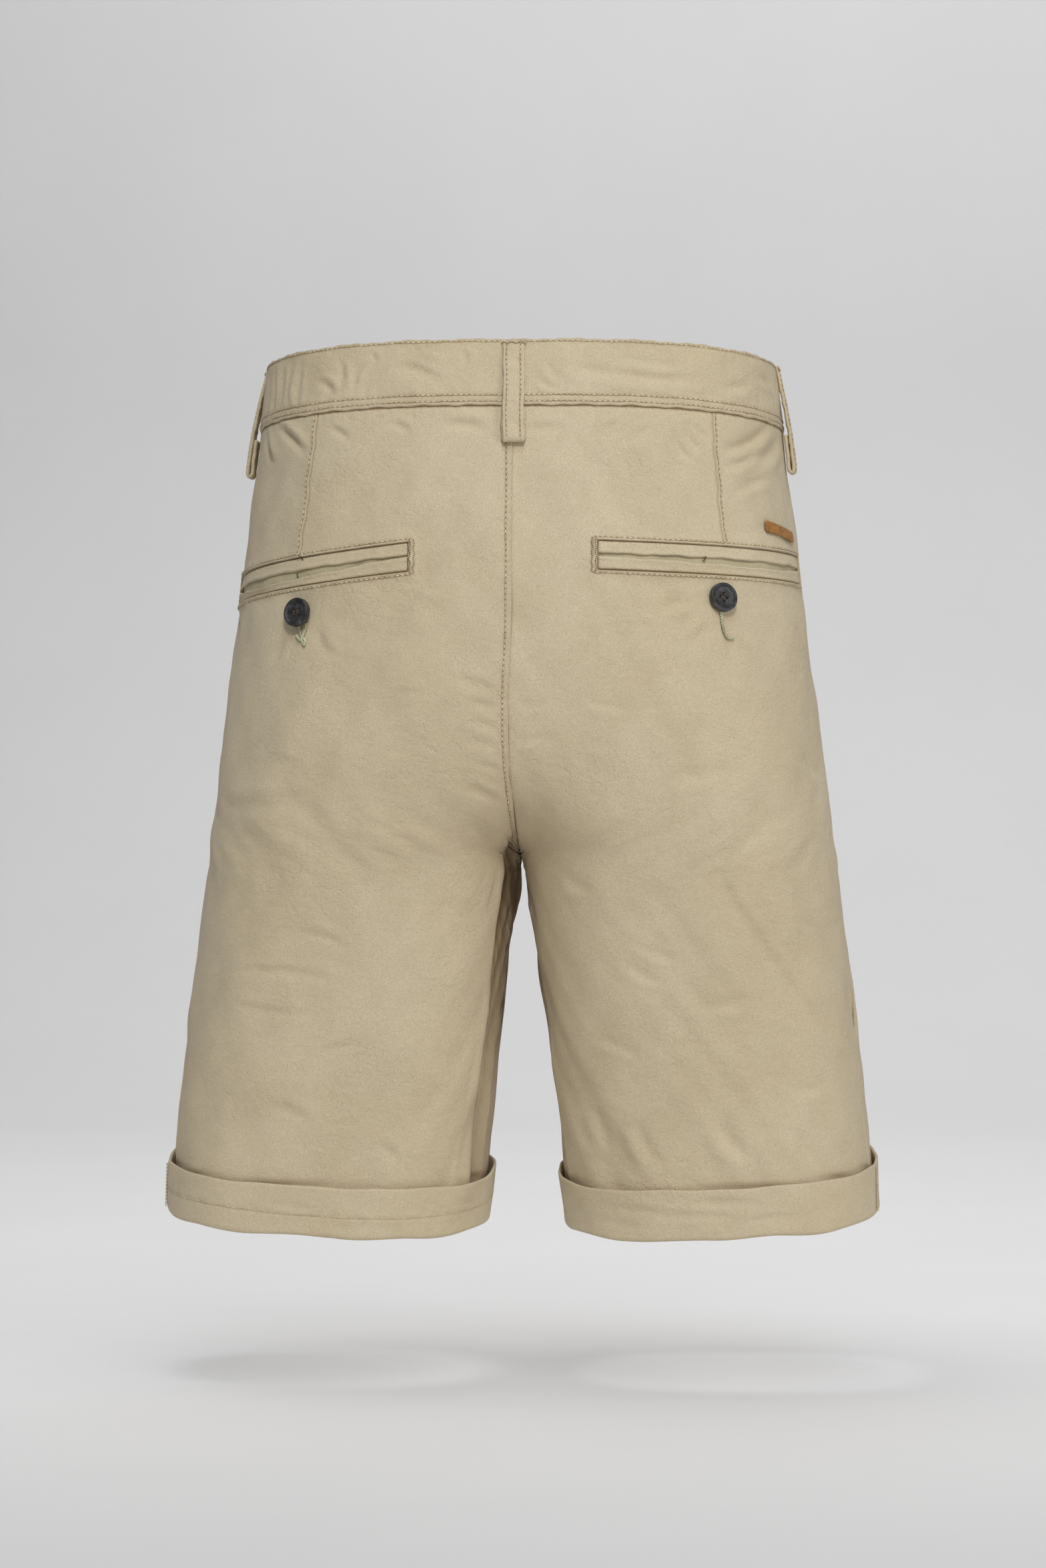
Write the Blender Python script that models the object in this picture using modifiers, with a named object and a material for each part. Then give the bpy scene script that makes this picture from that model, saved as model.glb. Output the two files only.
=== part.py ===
"""Bermuda shorts in plain cotton, in the hollow shape they keep when they are worn.

Metres, +Z up, front towards -Y, the wearer's left towards +X. The origin is the centre of the
waist opening, level with the waistband's top edge at the sides.

The cloth follows one form: level rings worked out from the SECTIONS table. Above the crotch a
ring is cut off at the centre seam, below it the ring closes round one leg. A place on the form
is a height, a distance along the cloth, and a lift away from the form.
"""

import math
from collections import namedtuple

import bmesh
import bpy
import numpy as np
from mathutils import Matrix, Vector

MM = 0.001
LEFT, RIGHT = 1, -1
SIDE_NAMES = {LEFT: "left", RIGHT: "right"}

# ---- driving sizes, in millimetres ----
GAP = 0.3
PANEL_WALL = 1.3
BAND_HEIGHT, BAND_WALL, BAND_LIFT = 39.0, 2.6, 1.0
BACK_RISE, FRONT_DROP = 8.0, 22.0  # waistband's top edge, against the sides
UNDERLAP, OVERLAP = 35.0, 3.0  # waistband ends past the centre front
HEM_DROP, HEM_TILT, HEM_ROLL = 503.5, 0.115, 0.045
LEG_SWAY = 3.0  # both legs' inner sides stand this far towards the wearer's right at the hem
CUFF_HEIGHT, CUFF_LIFT, CUFF_FLARE, CUFF_WALL = 30.0, 2.9, 1.3, 1.7
LOOP_WALL = 1.3
FLY_LENGTH, FLY_WIDTH = 165.0, 40.0
ZIP_LENGTH, ZIP_WIDTH = 150.0, 26.0
BUTTON_WIDTH, BUTTON_THICK, BUTTON_RIM = 17.0, 3.8, 1.1
WAIST_BUTTON_WIDTH = 17.0
LABEL_LENGTH, LABEL_HEIGHT, LABEL_THICK = 36.0, 7.4, 1.4

# ---- the form: one row for each level ring, in millimetres ----
# drop      below the waist          side     outer edge, from the centre plane
# inner     inner edge of the ring   axis     x of its deepest place
# back      y of the back            front    y of the front
# middle    y of the widest place    square   2 is an ellipse, more is boxier
# seam      y of the side seam
Section = namedtuple("Section", "drop side inner axis back front middle square seam")
SECTIONS = [
    Section(-12, 150.8, -150.8, 0.0, 106.5, -104.0, 1.0, 2.80, 1.0),
    Section(0, 152.1, -152.1, 0.0, 107.5, -105.0, 2.0, 2.80, 1.0),
    Section(39, 156.8, -156.8, 0.0, 113.0, -110.0, 4.0, 2.70, 0.0),
    Section(75, 161.0, -161.0, 0.0, 117.0, -112.5, 7.0, 2.50, -1.0),
    Section(125, 167.4, -167.4, 4.0, 121.5, -113.5, 10.0, 2.40, -1.0),
    Section(188, 175.3, -165.0, 30.0, 121.5, -112.0, 10.0, 2.40, 2.0),
    Section(225, 180.0, -128.0, 52.0, 117.5, -109.5, 9.0, 2.40, 5.0),
    Section(250, 183.2, -70.0, 68.0, 113.0, -107.0, 7.0, 2.40, 7.0),
    Section(268, 185.5, -31.0, 79.5, 109.5, -105.0, 5.0, 2.40, 8.5),
    Section(281, 187.1, -9.0, 87.0, 107.0, -103.0, 4.0, 2.42, 9.5),
    Section(288, 188.0, -1.6, 91.0, 105.5, -102.0, 3.3, 2.44, 10.0),
    Section(292, 188.5, 0.4, 93.0, 104.6, -101.2, 3.0, 2.45, 10.5),
    Section(305, 190.1, 3.0, 97.0, 102.0, -99.0, 2.2, 2.48, 13.0),
    Section(366, 198.0, 10.8, 104.7, 92.0, -89.0, 0.0, 2.55, 19.0),
    Section(430, 205.3, 17.8, 111.6, 83.0, -80.0, 0.0, 2.60, 24.0),
    Section(470, 209.5, 22.2, 115.8, 78.5, -75.5, 0.0, 2.60, 26.5),
    Section(530, 214.5, 27.5, 121.0, 74.5, -71.5, 0.0, 2.60, 29.0),
]
CROTCH_DROP = 290.0
RING_STEPS = 180

# ---- largest folds: soft troughs that run down the cloth, in millimetres ----
# along is measured from the centre seam on a back panel, and from the side seam on a front panel
Fold = namedtuple("Fold", "side panel along top bottom width depth lean")
FOLDS = [
    Fold(LEFT, "back", 26, 300, 500, 16, 2.4, -10),
    Fold(LEFT, "back", 120, 385, 540, 30, 2.6, 18),
    Fold(RIGHT, "back", 60, 330, 530, 26, 1.8, 14),
    Fold(RIGHT, "back", 205, 300, 540, 18, 2.6, 8),
    Fold(LEFT, "front", 268, 310, 500, 18, 3.0, -34),
    Fold(RIGHT, "front", 262, 320, 480, 16, 2.6, -30),
    Fold(LEFT, "front", 110, 320, 540, 28, 2.4, 10),
    Fold(RIGHT, "front", 140, 340, 540, 30, 2.0, -14),
]

# ---- rows and columns of the panels' grids ----
PANEL_ROWS = [0, 5, 14, 36, 66, 96, 128, 160, 190, 215, 235, 250, 262, 271, 278, 284, 289.6,
              296, 306, 330, 372, 422, 472]
LEVEL_FROM, LEVEL_TO = 96, 472  # between these the rows are level, in drop
SPREAD_FROM, SPREAD_TO = 188.0, 366.0  # between these the cloth widens for the crotch
PANEL_COLUMNS = [0, 0.012, 0.05, 0.12, 0.21, 0.31, 0.42, 0.53, 0.64, 0.75, 0.85, 0.93, 0.985, 1]
STEADY = 0.4  # from this column to the side seam, the columns keep an even spacing

# ---- pieces that lie on the panels, in millimetres; "along" is from the centre seam ----
Loop = namedtuple("Loop", "name side along width length stand")
LOOPS = [
    Loop("loop_back", LEFT, 0.0, 13.4, 63.0, 2.6),
    Loop("loop_side_left", LEFT, 213.0, 12.5, 66.0, 4.8),
    Loop("loop_side_right", RIGHT, 205.0, 12.5, 67.0, 4.8),
    Loop("loop_front_left", LEFT, 345.0, 12.5, 62.0, 4.0),
    Loop("loop_front_right", RIGHT, 345.0, 12.5, 62.0, 4.0),
]
Pocket = namedtuple("Pocket", "side along inner_drop outer_drop length")
POCKETS = [
    Pocket(LEFT, 59.5, 118.8, 135.0, 152.0),
    Pocket(RIGHT, 50.3, 118.0, 123.0, 157.0),
]
WELT_HEIGHT, WELT_LIFT, WELT_WALL, MOUTH = 7.8, 0.5, 1.1, 1.8
POCKET_BUTTONS = {LEFT: (128.0, 150.5), RIGHT: (124.3, 142.5)}  # along, drop
LABEL_ALONG, LABEL_DROP, LABEL_SLOPE = 159.0, 101.5, 5.5

# ---- finishes: base colour, roughness, metallic ----
FINISHES = {
    "cotton": ((0.50, 0.42, 0.28), 0.85, 0.0),
    "leather": ((0.33, 0.17, 0.05), 0.55, 0.0),
    "horn": ((0.035, 0.037, 0.042), 0.35, 0.0),
    "brass": ((0.45, 0.34, 0.16), 0.4, 1.0),
}


def column(name, drop):
    """One column of SECTIONS at any drop, on a smooth curve through the table's rows."""
    at = np.array([s.drop for s in SECTIONS], float)
    value = np.array([getattr(s, name) for s in SECTIONS], float)
    step = np.diff(value) / np.diff(at)
    slope = np.concatenate([[step[0]], (step[1:] + step[:-1]) / 2, [step[-1]]])
    drop = np.clip(drop, at[0], at[-1])
    k = np.clip(np.searchsorted(at, drop) - 1, 0, len(at) - 2)
    width = at[k + 1] - at[k]
    t = (drop - at[k]) / width
    return (
        (2 * t**3 - 3 * t**2 + 1) * value[k]
        + (t**3 - 2 * t**2 + t) * width * slope[k]
        + (3 * t**2 - 2 * t**3) * value[k + 1]
        + (t**3 - t**2) * width * slope[k + 1]
    )


def ring(drop, panel):
    """x and y along the ring at each drop, and the cloth's length up to each step."""
    side, inner, axis = column("side", drop), column("inner", drop), np.maximum(column("axis", drop), 0)
    middle, square = column("middle", drop), column("square", drop)
    behind, before = column("back", drop) - middle, middle - column("front", drop)
    outward, inward = side - axis, axis - inner
    cut = np.minimum(axis / inward, 1)
    reach = (1 - cut**square) ** (1 / square)
    edge = -np.minimum(axis, inward)
    start = np.where(inner < 0, np.arctan2(behind * reach, edge), np.pi)
    finish = np.where(inner < 0, np.arctan2(-before * reach - 1e-9, edge), -np.pi)
    off = column("seam", drop) - middle
    share = np.abs(off) / np.where(off > 0, behind, before)
    seam = np.arctan2(off, outward * (1 - share**square) ** (1 / square))
    ends = {"back": (start, seam), "front": (seam, finish), "half": (start, finish)}
    first, last = ends[panel]
    turn = first[:, None] + (last - first)[:, None] * np.linspace(0, 1, RING_STEPS)
    depth = np.where(np.sin(turn) > 0, behind[:, None], before[:, None])
    width = np.where(np.cos(turn) > 0, outward[:, None], inward[:, None])
    power = square[:, None]
    radius = (np.abs(np.cos(turn) / width) ** power + np.abs(np.sin(turn) / depth) ** power) ** (-1 / power)
    x = axis[:, None] + radius * np.cos(turn)
    y = middle[:, None] + radius * np.sin(turn)
    length = np.cumsum(np.hypot(np.diff(x), np.diff(y)), axis=1)
    return x, y, np.hstack([np.zeros((len(drop), 1)), length])


def ring_length(drop, panel):
    return ring(np.atleast_1d(np.asarray(drop, float)), panel)[2][:, -1]


def fold_depth(side, panel, along, drop):
    """How far the large folds push the cloth in."""
    depth = np.zeros_like(drop)
    for fold in FOLDS:
        if fold.side != side or fold.panel != panel:
            continue
        down = np.clip((drop - fold.top) / (fold.bottom - fold.top), 0, 1)
        across = (along - fold.along - fold.lean * down) / fold.width
        depth += fold.depth * np.sin(np.pi * down) ** 2 * np.exp(-(across**2))
    return depth


def flat_points(side, along, drop):
    """Points of the form, along given as millimetres of cloth from the centre back or inseam."""
    x, y, length = ring(drop, "half")
    total = length[:, -1]
    closed = column("inner", drop) >= 0
    # Past an end, the cloth goes on round the leg, or over onto the body's other side.
    over = ~closed & ((along > total) | (along < 0))
    reach = np.where(closed, along % total, np.where(along > total, 2 * total - along, np.abs(along)))
    px = np.array([np.interp(r, n, v) for r, n, v in zip(reach, length, x)])
    py = np.array([np.interp(r, n, v) for r, n, v in zip(reach, length, y)])
    low = np.clip((drop - CROTCH_DROP - 20) / (HEM_DROP - CROTCH_DROP), 0, 1.1)
    outer = column("side", drop)
    sway = LEG_SWAY * low * low * (3 - 2 * low) * (outer - px) / outer
    return np.stack([side * np.where(over, -px, px) - sway, py, -drop], axis=1)


def on_form(side, panel, along, drop, lift=0.0, folded=True):
    """Points on the form, moved out by lift, with the large folds pressed in.

    Along is measured on the cloth: from the centre seam for "back" and "half", and from the
    side seam for "front".
    """
    along, drop = np.broadcast_arrays(np.asarray(along, float), np.asarray(drop, float))
    shape = along.shape
    along, drop = along.ravel(), drop.ravel()
    lift = np.broadcast_to(np.asarray(lift, float), shape).ravel()
    if folded:
        lift = lift - fold_depth(side, panel, along, drop)
    if panel == "front":
        along = along + ring_length(drop, "back")
    step = 0.6
    here = flat_points(side, along, drop)
    across = flat_points(side, along + step, drop) - flat_points(side, along - step, drop)
    down = flat_points(side, along, drop + step) - flat_points(side, along, drop - step)
    normal = np.cross(across, down) * side
    normal /= np.linalg.norm(normal, axis=1)[:, None]
    return (here + normal * lift[:, None]).reshape(*shape, 3) * MM


def waist_drop(y):
    """Drop of the waistband's top edge where the cloth is at this y."""
    share = np.clip(y / 108.0, -1, 1)
    return np.where(share > 0, -BACK_RISE * share**2, FRONT_DROP * share**2)


def seam_offset(panel, drop):
    """Where a panel's own measure starts on the half ring."""
    return ring_length(drop, "back")[0] if panel == "front" else 0.0


def waist_drop_at(panel, along):
    """Drop of the waistband's top edge, along measured at the waist."""
    along = np.ravel(along) + seam_offset(panel, 10.0)
    return waist_drop(flat_points(LEFT, along, np.full(len(along), 10.0))[:, 1])


def hem_drop(panel, along):
    """Drop of the fold at the foot of the leg: lower at the back and on the inner side."""
    along = np.ravel(along) + seam_offset(panel, HEM_DROP)
    place = flat_points(LEFT, along, np.full(len(along), HEM_DROP))
    inward = column("side", np.array([HEM_DROP]))[0] - place[:, 0]
    return HEM_DROP + HEM_TILT * place[:, 1] + HEM_ROLL * inward


# ---- making objects ----
def finish_of(name):
    material = bpy.data.materials.get(name)
    if material is None:
        colour, roughness, metallic = FINISHES[name]
        material = bpy.data.materials.new(name)
        material.use_nodes = True
        shader = material.node_tree.nodes["Principled BSDF"]
        shader.inputs["Base Color"].default_value = (*colour, 1.0)
        shader.inputs["Roughness"].default_value = roughness
        shader.inputs["Metallic"].default_value = metallic
    return material


def object_of(name, mesh, finish, collection):
    made = bpy.data.objects.new(name, mesh)
    made.data.materials.append(finish_of(finish))
    collection.objects.link(made)
    mesh.shade_smooth()
    return made


def sheet_of(name, points, wall, finish, collection, flip=False, join_ends=False):
    """A grid primitive laid on rows of points, thickened inwards by its wall."""
    rows, columns = points.shape[:2]
    grid = bmesh.new()
    bmesh.ops.create_grid(grid, x_segments=columns - 1, y_segments=rows - 1, size=1.0)
    order = sorted(grid.verts, key=lambda v: (-round(v.co.y, 5), round(v.co.x, 5)))
    for vertex, place in zip(order, points.reshape(-1, 3)):
        vertex.co = place
    if join_ends:
        bmesh.ops.remove_doubles(grid, verts=grid.verts, dist=1e-6)
    if flip:
        bmesh.ops.reverse_faces(grid, faces=grid.faces)
    mesh = bpy.data.meshes.new(name)
    grid.to_mesh(mesh)
    grid.free()
    made = object_of(name, mesh, finish, collection)
    if wall:
        solid = made.modifiers.new("wall", "SOLIDIFY")
        solid.thickness = wall * MM
        solid.offset = -1.0
    return made


# ---- pieces ----
def spread(panel, drop, columns):
    """Cloth length of each column from the panel's first edge, its columns counted outwards.

    Near the side seam the columns keep their places. The ones nearer the centre stretch, because
    the cloth quickly gets wider where the crotch begins.
    """
    length = ring_length(drop, panel)
    high, low = (ring_length(at, panel)[0] for at in (SPREAD_FROM, SPREAD_TO))
    even = high + (low - high) * np.clip((drop - SPREAD_FROM) / (SPREAD_TO - SPREAD_FROM), 0, 1)
    even = np.where((drop > SPREAD_FROM) & (drop < SPREAD_TO), even, length)
    bend = length - (1 - STEADY) * even
    outer = length - (1 - columns) * even
    from_centre = np.where(columns < STEADY, bend * columns / STEADY, outer)
    return length - from_centre if panel == "front" else from_centre


def panel_drops(panel, columns):
    """Drop of every grid point: the waist seam at the top, level in the middle, the hem below."""
    at_waist = spread(panel, np.full(len(columns), 10.0), columns)
    top = waist_drop_at(panel, at_waist) + BAND_HEIGHT + GAP
    rows = [top + (LEVEL_FROM - top) * level / LEVEL_FROM for level in PANEL_ROWS if level < LEVEL_FROM]
    rows += [np.full(len(columns), float(level)) for level in PANEL_ROWS if level >= LEVEL_FROM]
    at_hem = spread(panel, np.full(len(columns), HEM_DROP), columns)
    foot = hem_drop(panel, at_hem) - CUFF_WALL - GAP
    return np.array(rows + [(foot + LEVEL_TO) / 2, foot])


def make_panel(side, panel, collection):
    columns = np.array(PANEL_COLUMNS if panel == "back" else PANEL_COLUMNS[::-1])
    drop = panel_drops(panel, columns)
    across = np.broadcast_to(columns, drop.shape).ravel()
    along = spread(panel, drop.ravel(), across).reshape(drop.shape)
    length = ring_length(drop.ravel(), panel).reshape(drop.shape)
    points = on_form(side, panel, np.clip(along, GAP / 2, length - GAP / 2), drop)
    clear = side * GAP / 2 * MM  # the two sides stay apart where they meet at the crotch
    points[..., 0] = np.maximum(points[..., 0], clear) if side == LEFT else np.minimum(points[..., 0], clear)
    name = f"{panel}_{SIDE_NAMES[side]}"
    return sheet_of(name, points, PANEL_WALL, "cotton", collection, flip=side == LEFT)


def make_waistband(side, collection):
    """One half of the waistband. The left half laps over the right one at the front."""
    # Its columns stand over the panels' columns, so the two keep an even gap along the seam.
    back, front = np.array(PANEL_COLUMNS), 1 - np.array(PANEL_COLUMNS[-2::-1])
    if side == LEFT:
        past = np.array([OVERLAP / 2, OVERLAP])
    else:
        past = np.linspace(4, UNDERLAP, 7)
    from_centre = np.concatenate([np.full(len(back), -99.0), (front - 1) * ring_length(10, "front"), past])
    under = np.clip((from_centre + 20) / 14, 0, 1) if side == RIGHT else 0 * from_centre
    lift = BAND_LIFT - (BAND_WALL + 1.5 * GAP) * under * under * (3 - 2 * under)
    top = np.concatenate([
        waist_drop_at("back", back * ring_length(10, "back")),
        waist_drop_at("front", np.append(front, 1 + past / 200) * ring_length(10, "front")),
    ])
    rows = []
    for down in (0, BAND_HEIGHT / 3, BAND_HEIGHT * 2 / 3, BAND_HEIGHT):
        drop, count = top + down, len(back)
        behind = np.maximum(back * ring_length(drop[:count], "back"), GAP / 2)
        before = ring_length(drop[count:], "front")
        before = np.append(front * before[:len(front)], before[len(front):] + past)
        rows.append(np.vstack([
            on_form(side, "back", behind, drop[:count], lift[:count]),
            on_form(side, "front", before, drop[count:], lift[count:]),
        ]))
    name = f"waistband_{SIDE_NAMES[side]}"
    return sheet_of(name, np.array(rows), BAND_WALL, "cotton", collection, flip=side == LEFT)


def make_turn_up(side, collection):
    """The leg's end folded out and up: a closed ring of one profile round the leg."""
    total = ring_length(HEM_DROP, "half")[0]
    along = np.linspace(0, total, 33)
    foot = hem_drop("half", along)
    share = along / total
    out, inside, flare = CUFF_LIFT, CUFF_LIFT - CUFF_WALL, CUFF_FLARE
    middle, high = CUFF_HEIGHT / 2, CUFF_HEIGHT
    profile = [
        (out + flare, high), (out + flare / 2, middle), (out, 1.6), (out - 0.9, 0.4), (inside - 0.2, 0.0),
        (-PANEL_WALL, 0.0), (-PANEL_WALL, CUFF_WALL), (inside - 0.2, CUFF_WALL), (inside, CUFF_WALL + 0.4),
        (inside + flare / 2, middle), (inside + flare, high), (out + flare, high),
    ]
    rows = []
    for lift, up in profile:
        drop = foot - up
        rows.append(on_form(side, "half", share * ring_length(drop, "half"), drop, lift, folded=False))
    name = f"turn_up_{SIDE_NAMES[side]}"
    return sheet_of(name, np.array(rows), 0, "cotton", collection, flip=side == LEFT, join_ends=True)


def make_loop(loop, collection):
    """A belt loop: a strip from the waistband's top edge, bowed out, its end tucked back under."""
    bend = 1.9
    base = BAND_LIFT + GAP + LOOP_WALL
    path = [(base, 1.0), (base + 0.3, 5.0)]
    for share in np.linspace(0.2, 0.9, 7):
        bow = math.sin(math.pi * min(share * 1.15, 1.0) / 2)
        path.append((base + loop.stand * bow, 1.0 + (loop.length - bend) * share))
    out = base + loop.stand
    inner = max(out - 2 * bend - 0.6, GAP + 0.2)
    centre = (out + inner) / 2
    for angle in np.linspace(0, math.pi, 7):
        path.append((centre + (out - inner) / 2 * math.cos(angle),
                     loop.length - bend + bend * math.sin(angle)))
    path.append((inner, loop.length - bend - 5.0))
    path.append((inner, BAND_HEIGHT + 3.5))
    lift, down = np.array(path).T
    total = ring_length(10.0, "half")[0]
    across = np.linspace(-loop.width / 2, loop.width / 2, 3)
    rows = []
    for one_lift, one_down in zip(lift, down):
        along = loop.along + across
        top = waist_drop_at("half", np.full_like(along, loop.along))
        drop = top + one_down
        scaled = along + loop.along / total * (ring_length(drop, "half") - total)
        rows.append(on_form(loop.side, "half", scaled, drop, one_lift))
    return sheet_of(loop.name, np.array(rows), LOOP_WALL, "cotton", collection, flip=loop.side == LEFT)


def pocket_strip(pocket, name, above, height, lift, wall, collection, inset=0.0):
    """A strip laid on the back panel along the pocket, its lower edge this far above the mouth."""
    share = np.linspace(0, 1, 13)
    along = pocket.along + inset + (pocket.length - 2 * inset) * share
    middle = pocket.inner_drop + (pocket.outer_drop - pocket.inner_drop) * share
    rows = [
        on_form(pocket.side, "back", along, middle - above - height * up, lift + wall)
        for up in (1.0, 0.5, 0.0)
    ]
    full = f"{name}_{SIDE_NAMES[pocket.side]}"
    return sheet_of(full, np.array(rows), wall, "cotton", collection, flip=pocket.side == LEFT)


def make_pocket(pocket, collection):
    """A double welt pocket: a strip above and one below the mouth, and the facing in the mouth."""
    half_mouth = MOUTH / 2
    pocket_strip(pocket, "welt_top", half_mouth, WELT_HEIGHT, WELT_LIFT, WELT_WALL, collection)
    pocket_strip(pocket, "welt_low", -half_mouth - WELT_HEIGHT, WELT_HEIGHT, WELT_LIFT, WELT_WALL, collection)
    facing = MOUTH - 2 * GAP
    pocket_strip(pocket, "facing", -facing / 2, facing, WELT_LIFT, WELT_WALL / 2, collection, inset=2.0)


def stand_on(made, side, panel, along, drop, lift, tilt=0.0):
    """Puts an object on the form, its +Z along the form's outward normal and its +Y upwards."""
    here, out = (Vector(p) for p in on_form(side, panel, [along, along], [drop, drop], [lift, lift + 10]))
    normal = (out - here).normalized()
    up = (Vector((0, 0, 1)) - normal * normal.z).normalized()
    matrix = Matrix.Translation(here) @ Matrix((up.cross(normal), up, normal)).transposed().to_4x4()
    made.matrix_world = matrix @ Matrix.Rotation(tilt, 4, "X")


def make_button(name, width, collection, cutters):
    """A sewn-through button with a raised rim, turned from its profile, with four holes."""
    radius, inner = width / 2, width / 2 - 2.6
    profile = [
        (0, BUTTON_THICK - BUTTON_RIM), (inner, BUTTON_THICK - BUTTON_RIM), (inner + 0.7, BUTTON_THICK),
        (radius - 0.9, BUTTON_THICK), (radius, BUTTON_THICK - 0.9), (radius, 1.1), (radius - 1.6, 0), (0, 0),
    ]
    mesh = bpy.data.meshes.new(name)
    corners = [(x * MM, 0, z * MM) for x, z in profile]
    mesh.from_pydata(corners, [(k, k + 1) for k in range(len(corners) - 1)], [])
    made = object_of(name, mesh, "horn", collection)
    turned = made.modifiers.new("turned", "SCREW")
    turned.steps = turned.render_steps = 24
    turned.use_merge_vertices = True
    turned.merge_threshold = 0.00001
    for number, (x, y) in enumerate(((1, 1), (1, -1), (-1, -1), (-1, 1))):
        hole = bmesh.new()
        bmesh.ops.create_cone(hole, cap_ends=True, segments=10, radius1=0.9 * MM, radius2=0.9 * MM,
                              depth=4 * BUTTON_THICK * MM,
                              matrix=Matrix.Translation((1.5 * x * MM, 1.5 * y * MM, 0)))
        cut = bpy.data.meshes.new(f"{name}_hole_{number}")
        hole.to_mesh(cut)
        hole.free()
        cutter = bpy.data.objects.new(cut.name, cut)
        cutter.hide_render = True
        cutter.display_type = "WIRE"
        cutters.objects.link(cutter)
        cutter.parent = made
        drill = made.modifiers.new(f"hole {number}", "BOOLEAN")
        drill.object = cutter
        drill.operation = "DIFFERENCE"
    return made


def make_label(collection):
    """A small leather tab with cut corners, curved with the panel behind it."""
    share = np.linspace(0, 1, 9)
    along = LABEL_ALONG + LABEL_LENGTH * share
    middle = LABEL_DROP + LABEL_SLOPE * (share - 0.5)
    rows = []
    for up in (1.0, 0.0, -1.0):
        cut = np.minimum(np.minimum(share, 1 - share) / 0.08, 1)
        half = LABEL_HEIGHT / 2 * (0.62 + 0.38 * cut)
        rows.append(on_form(RIGHT, "back", along, middle - up * half, 0.7 + LABEL_THICK))
    return sheet_of("label", np.array(rows), LABEL_THICK, "leather", collection)


def front_strip(name, first, last, length, lift, wall, finish, collection):
    """A strip behind the centre front, from first to last millimetres towards the wearer's left."""
    across = np.linspace(first, last, 5)
    rows = []
    for share in np.linspace(0, 1, 8):
        # The strip's own x runs across the centre plane, so it follows the form on either side.
        drop = FRONT_DROP + BAND_HEIGHT + GAP + 0.7 + length * share
        total = ring_length(drop, "half")[0]
        level = np.full(len(across), drop)
        rows.append(on_form(LEFT, "half", total - across, level, lift, folded=False))
    return sheet_of(name, np.array(rows), wall, finish, collection)


def build():
    for leftover in list(bpy.data.objects):
        bpy.data.objects.remove(leftover)
    shorts = bpy.data.collections.new("bermuda shorts")
    cutters = bpy.data.collections.new("cutters")
    bpy.context.scene.collection.children.link(shorts)
    bpy.context.scene.collection.children.link(cutters)

    for side in (LEFT, RIGHT):
        for panel in ("back", "front"):
            make_panel(side, panel, shorts)
        make_waistband(side, shorts)
        make_turn_up(side, shorts)
        along, drop = POCKET_BUTTONS[side]
        button = make_button(f"button_{SIDE_NAMES[side]}", BUTTON_WIDTH, shorts, cutters)
        stand_on(button, side, "back", along, drop, 1.4, tilt=math.radians(-4))
    for loop in LOOPS:
        make_loop(loop, shorts)
    for pocket in POCKETS:
        make_pocket(pocket, shorts)
    make_label(shorts)
    behind = PANEL_WALL + GAP + 0.2
    front_strip("zip", -ZIP_WIDTH / 2, ZIP_WIDTH / 2, ZIP_LENGTH, -behind, 1.2, "brass", shorts)
    front_strip("fly_shield", -FLY_WIDTH / 2 + 6, FLY_WIDTH / 2 + 6, FLY_LENGTH, -behind - 1.2 - 3 * GAP,
                PANEL_WALL, "cotton", shorts)
    button = make_button("button_waist", WAIST_BUTTON_WIDTH, shorts, cutters)
    total = ring_length(10.0, "half")[0]
    stand_on(button, LEFT, "half", total - 12.0, FRONT_DROP + BAND_HEIGHT / 2, BAND_LIFT + 0.6)


build()
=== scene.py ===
import math

import bpy
import numpy as np
from mathutils import Matrix, Vector


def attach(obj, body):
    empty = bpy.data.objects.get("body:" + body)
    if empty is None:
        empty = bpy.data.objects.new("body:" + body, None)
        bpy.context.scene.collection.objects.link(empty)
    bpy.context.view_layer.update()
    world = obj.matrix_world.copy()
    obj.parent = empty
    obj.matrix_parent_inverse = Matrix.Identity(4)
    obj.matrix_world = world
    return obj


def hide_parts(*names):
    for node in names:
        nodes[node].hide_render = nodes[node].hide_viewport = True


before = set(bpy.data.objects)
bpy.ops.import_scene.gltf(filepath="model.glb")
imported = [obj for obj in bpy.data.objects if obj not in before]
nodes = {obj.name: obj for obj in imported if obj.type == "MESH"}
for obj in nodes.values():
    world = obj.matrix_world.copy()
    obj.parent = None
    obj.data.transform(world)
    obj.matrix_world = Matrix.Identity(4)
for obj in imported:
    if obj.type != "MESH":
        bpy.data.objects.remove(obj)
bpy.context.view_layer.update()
print("frame loaded,", len(nodes), "nodes")

# sizes are in millimetres and become metres when a mesh is made
mm = 0.001
left, right = 1, -1
sideNames = {left: "left", right: "right"}
shared = {
    "gap": 0.3, "panelWall": 1.3, "bandHeight": 39.0, "bandWall": 2.6, "bandLift": 1.0,
    "backRise": 8.0, "frontDrop": 22.0, "hemDrop": 503.5, "hemTilt": 0.115, "hemRoll": 0.045,
    "legSway": 3.0, "crotchDrop": 290.0, "loopWall": 1.3, "waistLevel": 10.0, "turnUpHeight": 30.0,
}


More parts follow.
